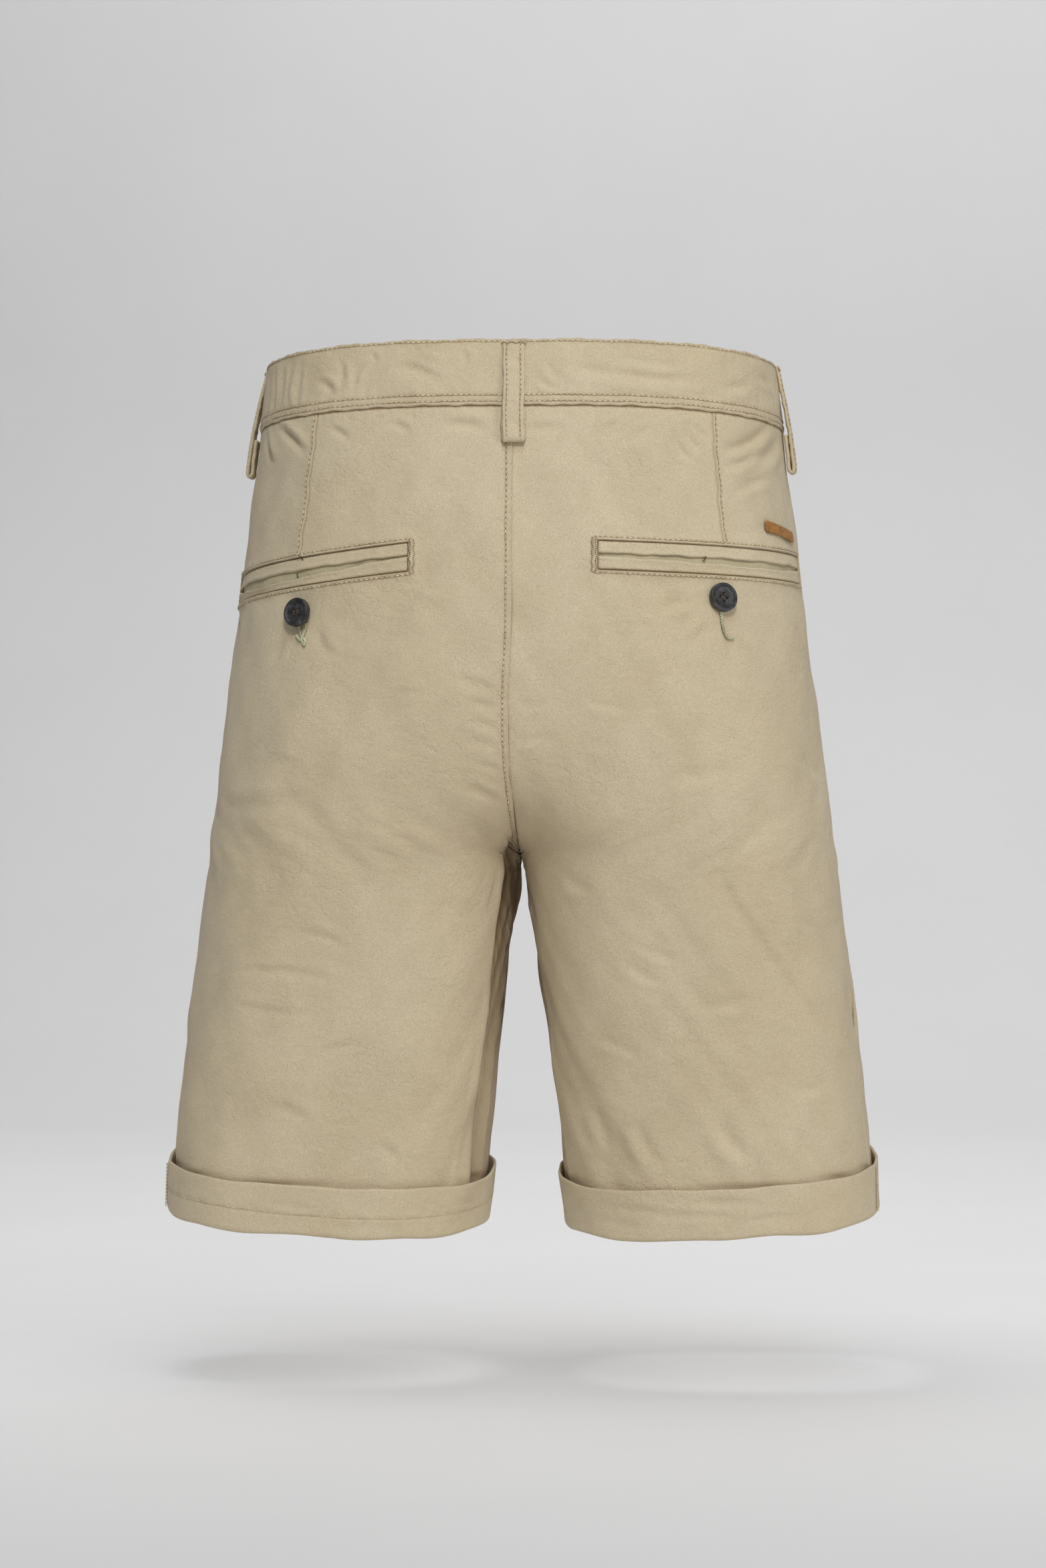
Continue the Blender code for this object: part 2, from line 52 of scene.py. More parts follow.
# ---- the body form ----
# level rings: drop below the waist, outer side, inner side, x of the deepest place, y of the back,
# y of the front, y of the widest place, squareness, y of the side seam
formNames = ["drop", "side", "inner", "axis", "back", "front", "middle", "square", "seam"]
formRows = np.array([
    (-12, 150.8, -150.8, 0.0, 106.5, -104.0, 1.0, 2.80, 1.0),
    (0, 152.1, -152.1, 0.0, 107.5, -105.0, 2.0, 2.80, 1.0),
    (39, 156.8, -156.8, 0.0, 113.0, -110.0, 4.0, 2.70, 0.0),
    (75, 161.0, -161.0, 0.0, 117.0, -112.5, 7.0, 2.50, -1.0),
    (125, 167.4, -167.4, 4.0, 121.5, -113.5, 10.0, 2.40, -1.0),
    (188, 175.3, -165.0, 30.0, 121.5, -112.0, 10.0, 2.40, 2.0),
    (225, 180.0, -128.0, 52.0, 117.5, -109.5, 9.0, 2.40, 5.0),
    (250, 183.2, -70.0, 68.0, 113.0, -107.0, 7.0, 2.40, 7.0),
    (268, 185.5, -31.0, 79.5, 109.5, -105.0, 5.0, 2.40, 8.5),
    (281, 187.1, -9.0, 87.0, 107.0, -103.0, 4.0, 2.42, 9.5),
    (288, 188.0, -1.6, 91.0, 105.5, -102.0, 3.3, 2.44, 10.0),
    (292, 188.5, 0.4, 93.0, 104.6, -101.2, 3.0, 2.45, 10.5),
    (305, 190.1, 3.0, 97.0, 102.0, -99.0, 2.2, 2.48, 13.0),
    (366, 198.0, 10.8, 104.7, 92.0, -89.0, 0.0, 2.55, 19.0),
    (430, 205.3, 17.8, 111.6, 83.0, -80.0, 0.0, 2.60, 24.0),
    (470, 209.5, 22.2, 115.8, 78.5, -75.5, 0.0, 2.60, 26.5),
    (530, 214.5, 27.5, 121.0, 74.5, -71.5, 0.0, 2.60, 29.0),
])
ringTable = {"step": 0.5, "turns": 1201, "places": 901, "softReach": 90, "softWidth": 34.0}


def smooth(value):
    t = np.clip(value, 0, 1)
    return t * t * (3 - 2 * t)


def bell(value):
    return np.exp(-np.square(value))


def formColumn(name, drop):
    at, value = formRows[:, 0], formRows[:, formNames.index(name)]
    step = np.diff(value) / np.diff(at)
    slope = np.concatenate([[step[0]], (step[1:] + step[:-1]) / 2, [step[-1]]])
    drop = np.clip(drop, at[0], at[-1])
    k = np.clip(np.searchsorted(at, drop) - 1, 0, len(at) - 2)
    width = at[k + 1] - at[k]
    t = (drop - at[k]) / width
    return ((2 * t**3 - 3 * t**2 + 1) * value[k] + (t**3 - 2 * t**2 + t) * width * slope[k]
            + (3 * t**2 - 2 * t**3) * value[k + 1] + (t**3 - t**2) * width * slope[k + 1])


def buildRings():
    # x and y at even steps round each half ring, with its length and the length up to the side seam
    drop = np.arange(formRows[0, 0], formRows[-1, 0] + 0.01, ringTable["step"])
    side, inner = formColumn("side", drop), formColumn("inner", drop)
    axis, middle = np.maximum(formColumn("axis", drop), 0), formColumn("middle", drop)
    square = formColumn("square", drop)
    behind, before = formColumn("back", drop) - middle, middle - formColumn("front", drop)
    outward, inward = side - axis, axis - inner
    reach = (1 - np.minimum(axis / inward, 1) ** square) ** (1 / square)
    edge = -np.minimum(axis, inward)
    start = np.where(inner < 0, np.arctan2(behind * reach, edge), np.pi)
    finish = np.where(inner < 0, np.arctan2(-before * reach - 1e-9, edge), -np.pi)
    off = formColumn("seam", drop) - middle
    share = np.abs(off) / np.where(off > 0, behind, before)
    seam = np.arctan2(off, outward * (1 - share**square) ** (1 / square))
    turns = ringTable["turns"]
    turn = start[:, None] + (finish - start)[:, None] * np.linspace(0, 1, turns)
    depth = np.where(np.sin(turn) > 0, behind[:, None], before[:, None])
    width = np.where(np.cos(turn) > 0, outward[:, None], inward[:, None])
    power = square[:, None]
    radius = (np.abs(np.cos(turn) / width) ** power + np.abs(np.sin(turn) / depth) ** power) ** (-1 / power)
    x, y = axis[:, None] + radius * np.cos(turn), middle[:, None] + radius * np.sin(turn)
    length = np.hstack([np.zeros((len(drop), 1)), np.cumsum(np.hypot(np.diff(x), np.diff(y)), axis=1)])
    even = np.linspace(0, 1, ringTable["places"])
    ringX = np.array([np.interp(even * n[-1], n, v) for n, v in zip(length, x)])
    ringY = np.array([np.interp(even * n[-1], n, v) for n, v in zip(length, y)])
    seamPlace = (start - seam) / (start - finish) * (turns - 1)
    seamAt = np.array([np.interp(p, np.arange(turns), n) for p, n in zip(seamPlace, length)])
    return drop, ringX, ringY, length[:, -1], seamAt, inner >= 0


ringDrops, ringX, ringY, ringTotals, ringSeams, ringClosed = buildRings()
closedFrom = ringDrops[ringClosed][0]
softReach = ringTable["softReach"]
spread = bell(np.arange(-softReach, softReach + 1) / ringTable["softWidth"])
softSeams = np.convolve(np.pad(ringSeams, softReach, mode="edge"), spread / spread.sum(), mode="valid")
print("body form ready")


def totalLength(drop):
    return np.interp(drop, ringDrops, ringTotals)


def seamLength(drop):
    return np.interp(drop, ringDrops, ringSeams)


waistTotal, waistSeam = totalLength(shared["waistLevel"]), seamLength(shared["waistLevel"])
hemTotal, hemSeam = totalLength(shared["hemDrop"]), seamLength(shared["hemDrop"])


def steadyPlace(half, drop):
    # place on the cloth without the sudden widening at the crotch
    return half - seamLength(drop) + np.interp(drop, ringDrops, softSeams)


def lookUp(table, place, drop):
    row = np.clip((drop - ringDrops[0]) / ringTable["step"], 0, len(ringDrops) - 1.001)
    column = np.clip(place * (table.shape[1] - 1), 0, table.shape[1] - 1.001)
    i, j = row.astype(int), column.astype(int)
    u, v = row - i, column - j
    upper = table[i, j] * (1 - v) + table[i, j + 1] * v
    lower = table[i + 1, j] * (1 - v) + table[i + 1, j + 1] * v
    return upper * (1 - u) + lower * u


def formPoint(side, half, drop):
    # half is millimetres of cloth round the half ring, from the centre back or the inseam
    total = totalLength(drop)
    closed = drop >= closedFrom
    over = ~closed & ((half > total) | (half < 0))
    reach = np.where(closed, half % total, np.where(half > total, 2 * total - half, np.abs(half)))
    x, y = lookUp(ringX, reach / total, drop), lookUp(ringY, reach / total, drop)
    low = np.clip((drop - shared["crotchDrop"] - 20) / (shared["hemDrop"] - shared["crotchDrop"]), 0, 1.1)
    outer = formColumn("side", drop)
    sway = shared["legSway"] * low * low * (3 - 2 * low) * (outer - x) / outer
    return np.stack([side * np.where(over, -x, x) - sway, y, -drop], axis=-1)


def formNormal(side, half, drop, step=1.0):
    across = formPoint(side, half + step, drop) - formPoint(side, half - step, drop)
    down = formPoint(side, half, drop + step) - formPoint(side, half, drop - step)
    normal = np.cross(across, down) * side
    return normal / np.linalg.norm(normal, axis=-1)[..., None]


def onForm(side, half, drop, lift=0.0):
    half, drop, lift = np.broadcast_arrays(*(np.asarray(v, float) for v in (half, drop, lift)))
    return (formPoint(side, half, drop) + formNormal(side, half, drop) * lift[..., None]) * mm


def waistDrop(half):
    y = formPoint(left, half, np.full(np.shape(half), shared["waistLevel"]))[..., 1]
    share = np.clip(y / 108.0, -1, 1)
    return np.where(share > 0, -shared["backRise"] * share**2, shared["frontDrop"] * share**2)


def hemDrop(half):
    place = formPoint(left, half, np.full(np.shape(half), shared["hemDrop"]))
    inward = formColumn("side", shared["hemDrop"]) - place[..., 0]
    return shared["hemDrop"] + shared["hemTilt"] * place[..., 1] + shared["hemRoll"] * inward


def spacedLines(length, even, marks):
    # increasing places from 0 to length, closer together near each mark: place, finest step, reach
    probe = np.linspace(0, length, 9001)
    step = np.full(len(probe), even)
    for place, finest, reach in marks:
        step = np.minimum(step, finest + (even - finest) * smooth(np.abs(probe - place) / reach))
    count = np.concatenate([[0], np.cumsum(np.diff(probe) / step[1:])])
    lines = np.interp(np.linspace(0, count[-1], int(round(count[-1])) + 1), count, probe)
    for place, finest, reach in marks:
        lines[np.argmin(np.abs(lines - place))] = place
    return lines


# ---- making meshes ----
def meshObject(name, points, faces, material, uv=None):
    mesh = bpy.data.meshes.new(name)
    mesh.from_pydata([tuple(p) for p in points], [], faces)
    if uv is not None:
        layer = mesh.uv_layers.new(name="cloth")
        corner = np.empty(len(mesh.loops), dtype=np.int32)
        mesh.loops.foreach_get("vertex_index", corner)
        layer.data.foreach_set("uv", np.ascontiguousarray(uv[corner], dtype=np.float32).ravel())
    made = bpy.data.objects.new(name, mesh)
    bpy.context.scene.collection.objects.link(made)
    mesh.materials.append(material)
    mesh.shade_smooth()
    mesh.validate()
    return made


def gridFaces(rows, columns, flip, wrapRows=False, wrapColumns=False):
    i, j = np.meshgrid(np.arange(rows - (not wrapRows)), np.arange(columns - (not wrapColumns)),
                       indexing="ij")
    i, j = i.ravel(), j.ravel()
    up, over = (i + 1) % rows, (j + 1) % columns
    quads = np.stack([i * columns + j, up * columns + j, up * columns + over, i * columns + over], axis=1)
    return (quads[:, ::-1] if flip else quads).tolist()


def addShade(made, name, values):
    layer = made.data.attributes.new(name, "FLOAT", "POINT")
    layer.data.foreach_set("value", np.asarray(values, np.float32).ravel())


def onlySelect(made):
    bpy.ops.object.select_all(action="DESELECT")
    made.select_set(True)
    bpy.context.view_layer.objects.active = made


def facesOut(made):
    onlySelect(made)
    bpy.ops.object.mode_set(mode="EDIT")
    bpy.ops.mesh.select_all(action="SELECT")
    bpy.ops.mesh.normals_make_consistent(inside=False)
    bpy.ops.object.mode_set(mode="OBJECT")


def addWall(made, wall):
    onlySelect(made)
    solid = made.modifiers.new("wall", "SOLIDIFY")
    solid.thickness = wall * mm
    solid.offset = -1.0
    solid.use_even_offset = False
    bpy.ops.object.modifier_apply(modifier="wall")


def clothUv(along, drop):
    return np.stack([along * mm, -drop * mm], axis=-1)


def sheetObject(name, points, side, wall, material, uv, shade=None):
    rows, columns = points.shape[:2]
    made = meshObject(name, points.reshape(-1, 3), gridFaces(rows, columns, side == left),
                      material, uv.reshape(-1, 2))
    if shade is not None:
        addShade(made, "shade", shade)
    if wall:
        addWall(made, wall)
    return made


def finishPiece(made, slot, *replaced):
    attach(made, "root")
    if replaced:
        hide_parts(*replaced)


# ---- shader maths ----
class Wire:
    # one socket, with its operators
    def __init__(self, recipe, socket):
        self.recipe, self.socket = recipe, socket

    def maths(self, operation, first, second):
        return self.recipe.add("ShaderNodeMath", {"operation": operation}, {0: first, 1: second})

    def __add__(self, other):
        return self.maths("ADD", self, other)

    def __radd__(self, other):
        return self.maths("ADD", other, self)

    def __sub__(self, other):
        return self.maths("SUBTRACT", self, other)

    def __mul__(self, other):
        return self.maths("MULTIPLY", self, other)


class Recipe:
    def __init__(self, name):
        self.material = bpy.data.materials.new(name)
        self.material.use_nodes = True
        self.tree = self.material.node_tree
        self.shader = self.tree.nodes["Principled BSDF"]

    def add(self, kind, settings=None, sockets=None, output=0):
        node = self.tree.nodes.new(kind)
        for key, value in (settings or {}).items():
            setattr(node, key, value)
        self.fill(node, sockets or {})
        return Wire(self, node.outputs[output])

    def fill(self, node, sockets):
        for key, value in sockets.items():
            if isinstance(value, Wire):
                self.tree.links.new(value.socket, node.inputs[key])
            else:
                node.inputs[key].default_value = value

    def place(self, kind="Object"):
        return self.add("ShaderNodeTexCoord", output={"Object": 3, "UV": 2}[kind])

    def noise(self, vector, scale, detail=3.0, roughness=0.5, stretch=None):
        if stretch:
            vector = self.add("ShaderNodeMapping", sockets={"Vector": vector, "Scale": stretch})
        return self.add("ShaderNodeTexNoise", sockets={
            "Vector": vector, "Scale": scale, "Detail": detail, "Roughness": roughness})

    def ramp(self, value, low, high):
        return self.add("ShaderNodeMapRange", {"interpolation_type": "SMOOTHSTEP"}, {
            "Value": value, "From Min": low, "From Max": high})

    def blend(self, factor, first, second):
        first = (*first, 1.0) if isinstance(first, tuple) else first
        second = (*second, 1.0) if isinstance(second, tuple) else second
        return self.add("ShaderNodeMix", {"data_type": "RGBA"}, {0: factor, 6: first, 7: second}, output=2)

    def bump(self, height, distance, strength=1.0, under=None):
        sockets = {"Height": height, "Distance": distance, "Strength": strength}
        if under:
            sockets["Normal"] = under
        return self.add("ShaderNodeBump", sockets=sockets)

    def finish(self, **sockets):
        named = {"colour": "Base Color", "roughness": "Roughness", "metallic": "Metallic", "normal": "Normal",
                 "sheen": "Sheen Weight", "sheenRoughness": "Sheen Roughness",
                 "specular": "Specular IOR Level"}
        values = {named[key]: (*value, 1.0) if isinstance(value, tuple) else value
                  for key, value in sockets.items()}
        self.fill(self.shader, values)
        return self.material


cottonLook = {
    "pale": (0.715, 0.61, 0.43), "warm": (0.665, 0.556, 0.378), "deep": (0.42, 0.33, 0.19),
    "thread": (0.74, 0.63, 0.44), "facing": (0.57, 0.50, 0.31), "darkThread": (0.10, 0.07, 0.04),
    # seam is the dark colour of the painted shade that the shade attribute lays along stitched lines, under
    # edges and inside the thighs
    "seam": (0.26, 0.165, 0.08), "tail": (0.66, 0.67, 0.46), "grain": 1650.0, "weave": 2300.0,
}


def cottonMaterial(name, pale, warm, deep):
    recipe = Recipe(name)
    place, cloth = recipe.place(), recipe.place("UV")
    broad = recipe.noise(place, 9.0, 3.0, 0.55)
    patches = recipe.noise(place, 46.0, 4.0, 0.6)
    grain = recipe.noise(place, cottonLook["grain"], 2.0, 0.6)
    slub = recipe.noise(cloth, 700.0, 2.0, 0.5, stretch=(0.8, 1.4, 1.0))
    crinkle = recipe.noise(place, 230.0, 4.0, 0.62)
    crush = recipe.noise(cloth, 75.0, 4.0, 0.55, stretch=(0.8, 1.25, 1.0))
    across, down = (recipe.add("ShaderNodeTexWave", {"bands_direction": axis}, {
        "Vector": cloth, "Scale": cottonLook["weave"] / 6.283, "Distortion": 1.5, "Detail": 1.0})
        for axis in "XY")
    weave = across * down
    tone = recipe.blend(recipe.ramp(broad, 0.35, 0.65), pale, warm)
    tone = recipe.blend(recipe.ramp(patches, 0.38, 0.78) * 0.16, tone, deep)
    tone = recipe.blend(recipe.ramp(grain, 0.32, 0.74) * 0.58, tone, deep)
    tone = recipe.blend(recipe.ramp(slub, 0.5, 0.8) * 0.2, tone, pale)
    # painted shade: the shade attribute darkens the colour towards seam where shade falls, in stitched
    # grooves, under edges and between the legs
    shade = recipe.add("ShaderNodeAttribute", {"attribute_name": "shade"}, output=2)
    tone = recipe.blend(shade, tone, cottonLook["seam"])
    # thin crinkle lines follow the middle value of a slow noise, in scattered patches
    line = recipe.noise(place, 62.0, 3.0, 0.55) - 0.5
    lines = recipe.ramp(line * line, 0.0, 0.0016) * recipe.ramp(recipe.noise(place, 21.0, 2.0), 0.4, 0.7)
    softBump = recipe.bump(recipe.ramp(crush, 0.35, 0.65) * recipe.ramp(broad, 0.3, 0.7), 0.0006, 0.5)
    lineBump = recipe.bump(lines, 0.00022, 0.7, softBump)
    fineBump = recipe.bump(crinkle, 0.00042, 0.7, lineBump)
    grainBump = recipe.bump(grain * 0.92 + weave * 0.08, 0.00046, 1.0, fineBump)
    return recipe.finish(colour=tone, roughness=0.86 + (grain - 0.5) * 0.12, normal=grainBump,
                         sheen=0.12, sheenRoughness=0.5, specular=0.22)


def threadMaterial(name, pale, deep, ends=None):
    recipe = Recipe(name)
    place = recipe.place()
    fibre = recipe.noise(place, 2600.0, 2.0, 0.6)
    tone = recipe.blend(recipe.ramp(recipe.noise(place, 140.0, 2.0), 0.35, 0.65), pale, deep)
    tone = recipe.blend(recipe.ramp(fibre, 0.35, 0.7) * 0.4, tone, deep)
    # painted shade: the ends colour stands in for the shadow where a stitch goes down into its hole
    if ends:  # a stitch darkens where it goes down into its hole
        middle = recipe.add("ShaderNodeAttribute", {"attribute_name": "middle"}, output=2)
        tone = recipe.blend(recipe.ramp(middle, 0.1, 0.8), ends, tone)
    return recipe.finish(colour=tone, roughness=0.7 + fibre * 0.2, normal=recipe.bump(fibre, 0.0001, 0.6),
                         specular=0.3)


def leatherMaterial():
    recipe = Recipe("leather")
    place = recipe.place()
    cells = recipe.add("ShaderNodeTexVoronoi", {"feature": "DISTANCE_TO_EDGE"},
                       {"Vector": place, "Scale": 900.0})
    mottle = recipe.noise(place, 260.0, 4.0, 0.6)
    fine = recipe.noise(place, 1800.0, 2.0, 0.6)
    tone = recipe.blend(recipe.ramp(mottle, 0.3, 0.7), (0.47, 0.215, 0.045), (0.32, 0.135, 0.028))
    tone = recipe.blend(recipe.ramp(cells, 0.12, 0.0) * 0.45, tone, (0.14, 0.055, 0.015))
    height = recipe.ramp(cells, 0.0, 0.2) * 0.6 + fine * 0.4
    return recipe.finish(colour=tone, roughness=0.42 + mottle * 0.2, normal=recipe.bump(height, 0.0002, 0.7),
                         specular=0.45)


def hornMaterial():
    recipe = Recipe("horn")
    place = recipe.place()
    cloud = recipe.noise(place, 230.0, 4.0, 0.65)
    streak = recipe.noise(place, 420.0, 3.0, 0.6, stretch=(1.0, 1.0, 0.25))
    tone = recipe.blend(recipe.ramp(cloud, 0.35, 0.68), (0.013, 0.013, 0.014), (0.058, 0.058, 0.060))
    tone = recipe.blend(recipe.ramp(streak, 0.55, 0.75) * 0.45, tone, (0.15, 0.145, 0.14))
    return recipe.finish(colour=tone, roughness=0.34 + cloud * 0.18,
                         normal=recipe.bump(recipe.noise(place, 1500.0, 2.0), 0.00006, 0.5), specular=0.5)


def brassMaterial():
    recipe = Recipe("brass")
    place = recipe.place()
    tarnish = recipe.noise(place, 160.0, 4.0, 0.6)
    tone = recipe.blend(recipe.ramp(tarnish, 0.35, 0.7), (0.52, 0.40, 0.18), (0.28, 0.20, 0.09))
    return recipe.finish(colour=tone, roughness=0.3 + tarnish * 0.3, metallic=1.0,
                         normal=recipe.bump(recipe.noise(place, 900.0, 2.0), 0.00008, 0.5))


cotton = cottonMaterial("cotton", cottonLook["pale"], cottonLook["warm"], cottonLook["deep"])
facingCotton = cottonMaterial("cottonFacing", (0.63, 0.56, 0.36), cottonLook["facing"], (0.40, 0.34, 0.20))
# the ends colours are painted shade where the stitches sink into their holes, softer on the turn-ups
thread = threadMaterial("thread", cottonLook["thread"], (0.50, 0.40, 0.26), ends=(0.36, 0.26, 0.15))
softThread = threadMaterial("softThread", cottonLook["thread"], (0.50, 0.40, 0.26), ends=(0.55, 0.45, 0.29))
darkThread = threadMaterial("darkThread", cottonLook["darkThread"], (0.08, 0.055, 0.03))
tailThread = threadMaterial("tailThread", cottonLook["tail"], (0.36, 0.35, 0.22))
leather, horn, brass = leatherMaterial(), hornMaterial(), brassMaterial()
print("materials ready")

# ---- creases and folds ----
# long soft troughs: along and drop at the top, bottom drop, width, depth, lean
folds = {
    (left, "back"): [(26, 300, 500, 16, 2.4, -10), (120, 385, 540, 30, 2.6, 18)],
    (right, "back"): [(60, 330, 530, 26, 1.8, 14), (205, 300, 540, 18, 2.6, 8)],
    (left, "front"): [(268, 310, 500, 18, 3.0, -34), (110, 320, 540, 28, 2.4, 10)],
    (right, "front"): [(262, 320, 480, 16, 2.6, -30), (140, 340, 540, 30, 2.0, -14)],
}
# short creases: from along, drop to along, drop, then bow, width, depth
creases = {
    (left, "back"): [
        (153, 39, 127, 57, 2.0, 2.6, 1.1), (170, 41, 158, 62, -2.0, 3.5, 0.9),
        (110, 42, 96, 50, 1.0, 2.0, 0.5), (70, 40, 58, 47, 0.5, 2.0, 0.45), (40, 43, 12, 46, 2.0, 3.0, 0.6),
        (69, 198, 52, 197, 0.8, 1.6, 0.35), (146, 237, 124, 238, 1.0, 1.8, 0.3),
        (200, 262, 120, 255, -5.0, 5.0, 0.6), (96, 282, 82, 283, 0.8, 1.6, 0.3),
        (183, 338, 148, 348, 4.0, 2.2, 0.45), (222, 360, 150, 366, 3.0, 2.4, 0.4),
        (215, 378, 160, 384, -2.5, 2.2, 0.35), (156, 410, 130, 402, 2.0, 2.0, 0.4),
        (60, 330, 48, 300, 3.0, 3.0, 0.5), (90, 420, 76, 440, 2.0, 2.5, 0.35),
        (178, 440, 150, 452, 3.0, 3.0, 0.4), (110, 462, 96, 474, 1.5, 2.5, 0.4),
        (30, 190, 8, 196, 1.5, 2.0, 0.5), (26, 203, 6, 206, 1.0, 1.8, 0.5),
        (22, 213, 5, 219, 1.0, 1.8, 0.45), (24, 226, 5, 229, 1.0, 2.0, 0.45),
        (20, 238, 4, 243, 1.0, 1.8, 0.4), (30, 252, 8, 262, 2.0, 2.4, 0.6),
        (140, 162, 150, 178, 2.0, 3.0, 0.5), (116, 160, 104, 176, -2.0, 3.0, 0.5),
        (60, 145, 40, 152, 2.0, 3.0, 0.4), (216, 140, 205, 160, 3.0, 4.0, 0.7),
        (14, 285, 34, 330, 4.0, 3.0, 1.2), (8, 288, 22, 345, 3.0, 2.5, 1.2),
        (24, 278, 44, 318, 3.0, 4.0, 0.8), (20, 350, 26, 420, 1.5, 3.5, 0.9),
        (34, 300, 40, 380, 2.0, 4.0, 0.5),
    ],
    (right, "back"): [
        (126, 66, 158, 50, 3.0, 3.0, 0.7), (130, 84, 166, 70, -2.0, 2.6, 0.5),
        (132, 104, 176, 96, 2.0, 3.4, 0.4), (118, 158, 106, 172, 2.0, 2.4, 0.7),
        (128, 160, 132, 176, 1.0, 2.6, 0.5), (86, 150, 108, 146, -1.5, 2.4, 0.6),
        (168, 261, 249, 414, 6.0, 3.2, -0.5), (94, 44, 104, 62, 2.0, 2.2, 0.8),
        (102, 40, 112, 58, 2.5, 2.4, 0.9), (108, 41, 116, 50, 1.0, 1.8, 0.6),
        (126, 56, 170, 37, 3.0, 3.2, 1.2), (150, 60, 186, 44, 3.0, 4.0, 0.8),
        (60, 40, 54, 50, 1.0, 2.2, 0.5), (30, 44, 10, 47, 1.0, 2.5, 0.45), (80, 43, 72, 52, 1.0, 2.0, 0.4),
        (104, 140, 92, 150, 2.0, 2.6, 0.5), (150, 138, 168, 146, 2.0, 3.0, 0.5),
        (108, 150, 100, 166, 2.0, 3.0, 0.4), (40, 200, 70, 206, 2.0, 2.4, 0.35),
        (6, 205, 22, 203, 1.0, 2.0, 0.35), (5, 226, 20, 222, 1.0, 2.0, 0.35),
        (90, 250, 130, 244, -3.0, 4.0, 0.4), (190, 232, 214, 244, 3.0, 4.0, 0.6),
        (78, 300, 104, 312, 3.0, 3.0, 0.4), (120, 340, 150, 352, 3.5, 2.4, 0.4),
        (112, 352, 138, 366, 3.0, 2.4, 0.4), (150, 380, 186, 372, 3.0, 3.0, 0.4),
        (80, 400, 112, 412, -3.0, 3.0, 0.35), (196, 430, 224, 424, 2.0, 3.0, 0.4),
        (100, 448, 110, 476, 2.5, 4.5, 0.8), (150, 446, 162, 470, 3.0, 5.0, 0.9),
        (70, 440, 76, 470, -2.0, 5.0, 0.6), (196, 452, 204, 474, 2.5, 4.0, 0.7),
        (16, 292, 40, 330, 4.0, 3.5, 0.7), (12, 296, 26, 350, 3.0, 3.0, 0.6),
    ],
    (left, "front"): [
        (196, 66, 186, 90, 3.0, 4.0, 0.8), (150, 64, 140, 86, 2.0, 3.0, 0.7),
        (60, 60, 40, 78, 2.0, 4.0, 0.8), (100, 150, 140, 160, -4.0, 5.0, 0.7),
        (200, 262, 236, 282, 4.0, 4.0, 1.2), (190, 250, 232, 272, 5.0, 4.0, 0.9),
        (180, 276, 240, 300, 4.0, 4.0, 0.9), (60, 300, 100, 312, 3.0, 4.0, 0.5),
        (120, 350, 160, 342, -3.0, 3.0, 0.5), (150, 420, 186, 432, 3.0, 4.0, 0.5),
        (80, 448, 92, 476, 2.0, 5.0, 0.8), (40, 400, 70, 412, 2.0, 4.0, 0.5),
        (250, 300, 268, 360, 4.0, 4.0, 1.1), (262, 340, 258, 430, 3.0, 3.5, 1.0),
        (240, 320, 248, 400, 2.0, 5.0, 0.6),
    ],
    (right, "front"): [
        (190, 70, 180, 92, 3.0, 4.0, 0.8), (120, 62, 112, 84, 2.0, 3.0, 0.6),
        (50, 60, 34, 80, 2.0, 4.0, 0.8), (90, 160, 130, 152, -4.0, 5.0, 0.7),
        (204, 262, 238, 284, 4.0, 4.0, 1.1), (186, 252, 230, 276, 5.0, 4.0, 0.9),
        (70, 310, 110, 322, 3.0, 4.0, 0.5), (130, 362, 166, 354, -3.0, 3.0, 0.5),
        (60, 430, 96, 442, 3.0, 4.0, 0.5), (160, 446, 170, 474, 2.0, 5.0, 0.8),
        (250, 310, 262, 380, 4.0, 4.0, 0.9), (110, 452, 122, 476, 2.0, 5.0, 0.7),
    ],
}
creaseGain = 2.2
# slow unevenness: height, lengths of a wave along and down, turn
waves = [(0.42, 83, 150, 0.4), (0.36, -61, 118, 2.1), (0.30, 47, -89, 4.0), (0.26, 130, 58, 1.2),
         (0.16, 29, 64, 5.1), (0.13, -23, 41, 3.3), (0.10, 19, -37, 0.9)]


def softWaves(side, half, drop):
    turn = 1.7 * side
    return sum(height * np.sin(2 * np.pi * (half / along + drop / down) + start + turn)
               for height, along, down, start in waves)


def creased(rows, along, down, ridge, power=1.0):
    # how deep the creases go, each with a ridge beside its bowed line
    total = np.zeros(np.shape(along))
    for startA, startD, endA, endD, bow, width, depth in rows:
        run = math.hypot(endA - startA, endD - startD)
        ux, uy = (endA - startA) / run, (endD - startD) / run
        t = ((along - startA) * ux + (down - startD) * uy) / run
        off = (down - startD) * ux - (along - startA) * uy - bow * 4 * t * (1 - t)
        fade = np.sin(np.pi * np.clip(t, 0, 1)) ** power
        total += depth * fade * (bell(off / width) - ridge * bell((off - 1.8 * width) / width))
    return total


def pressed(side, panel, along, drop):
    lift = np.zeros(np.shape(along))
    for top, topDrop, foot, width, depth, lean in folds[side, panel]:
        down = np.clip((drop - topDrop) / (foot - topDrop), 0, 1)
        lift -= depth * np.sin(np.pi * down) ** 2 * bell((along - top - lean * down) / width)
    return lift - creaseGain * creased(creases[side, panel], along, drop, ridge=0.6, power=0.8)


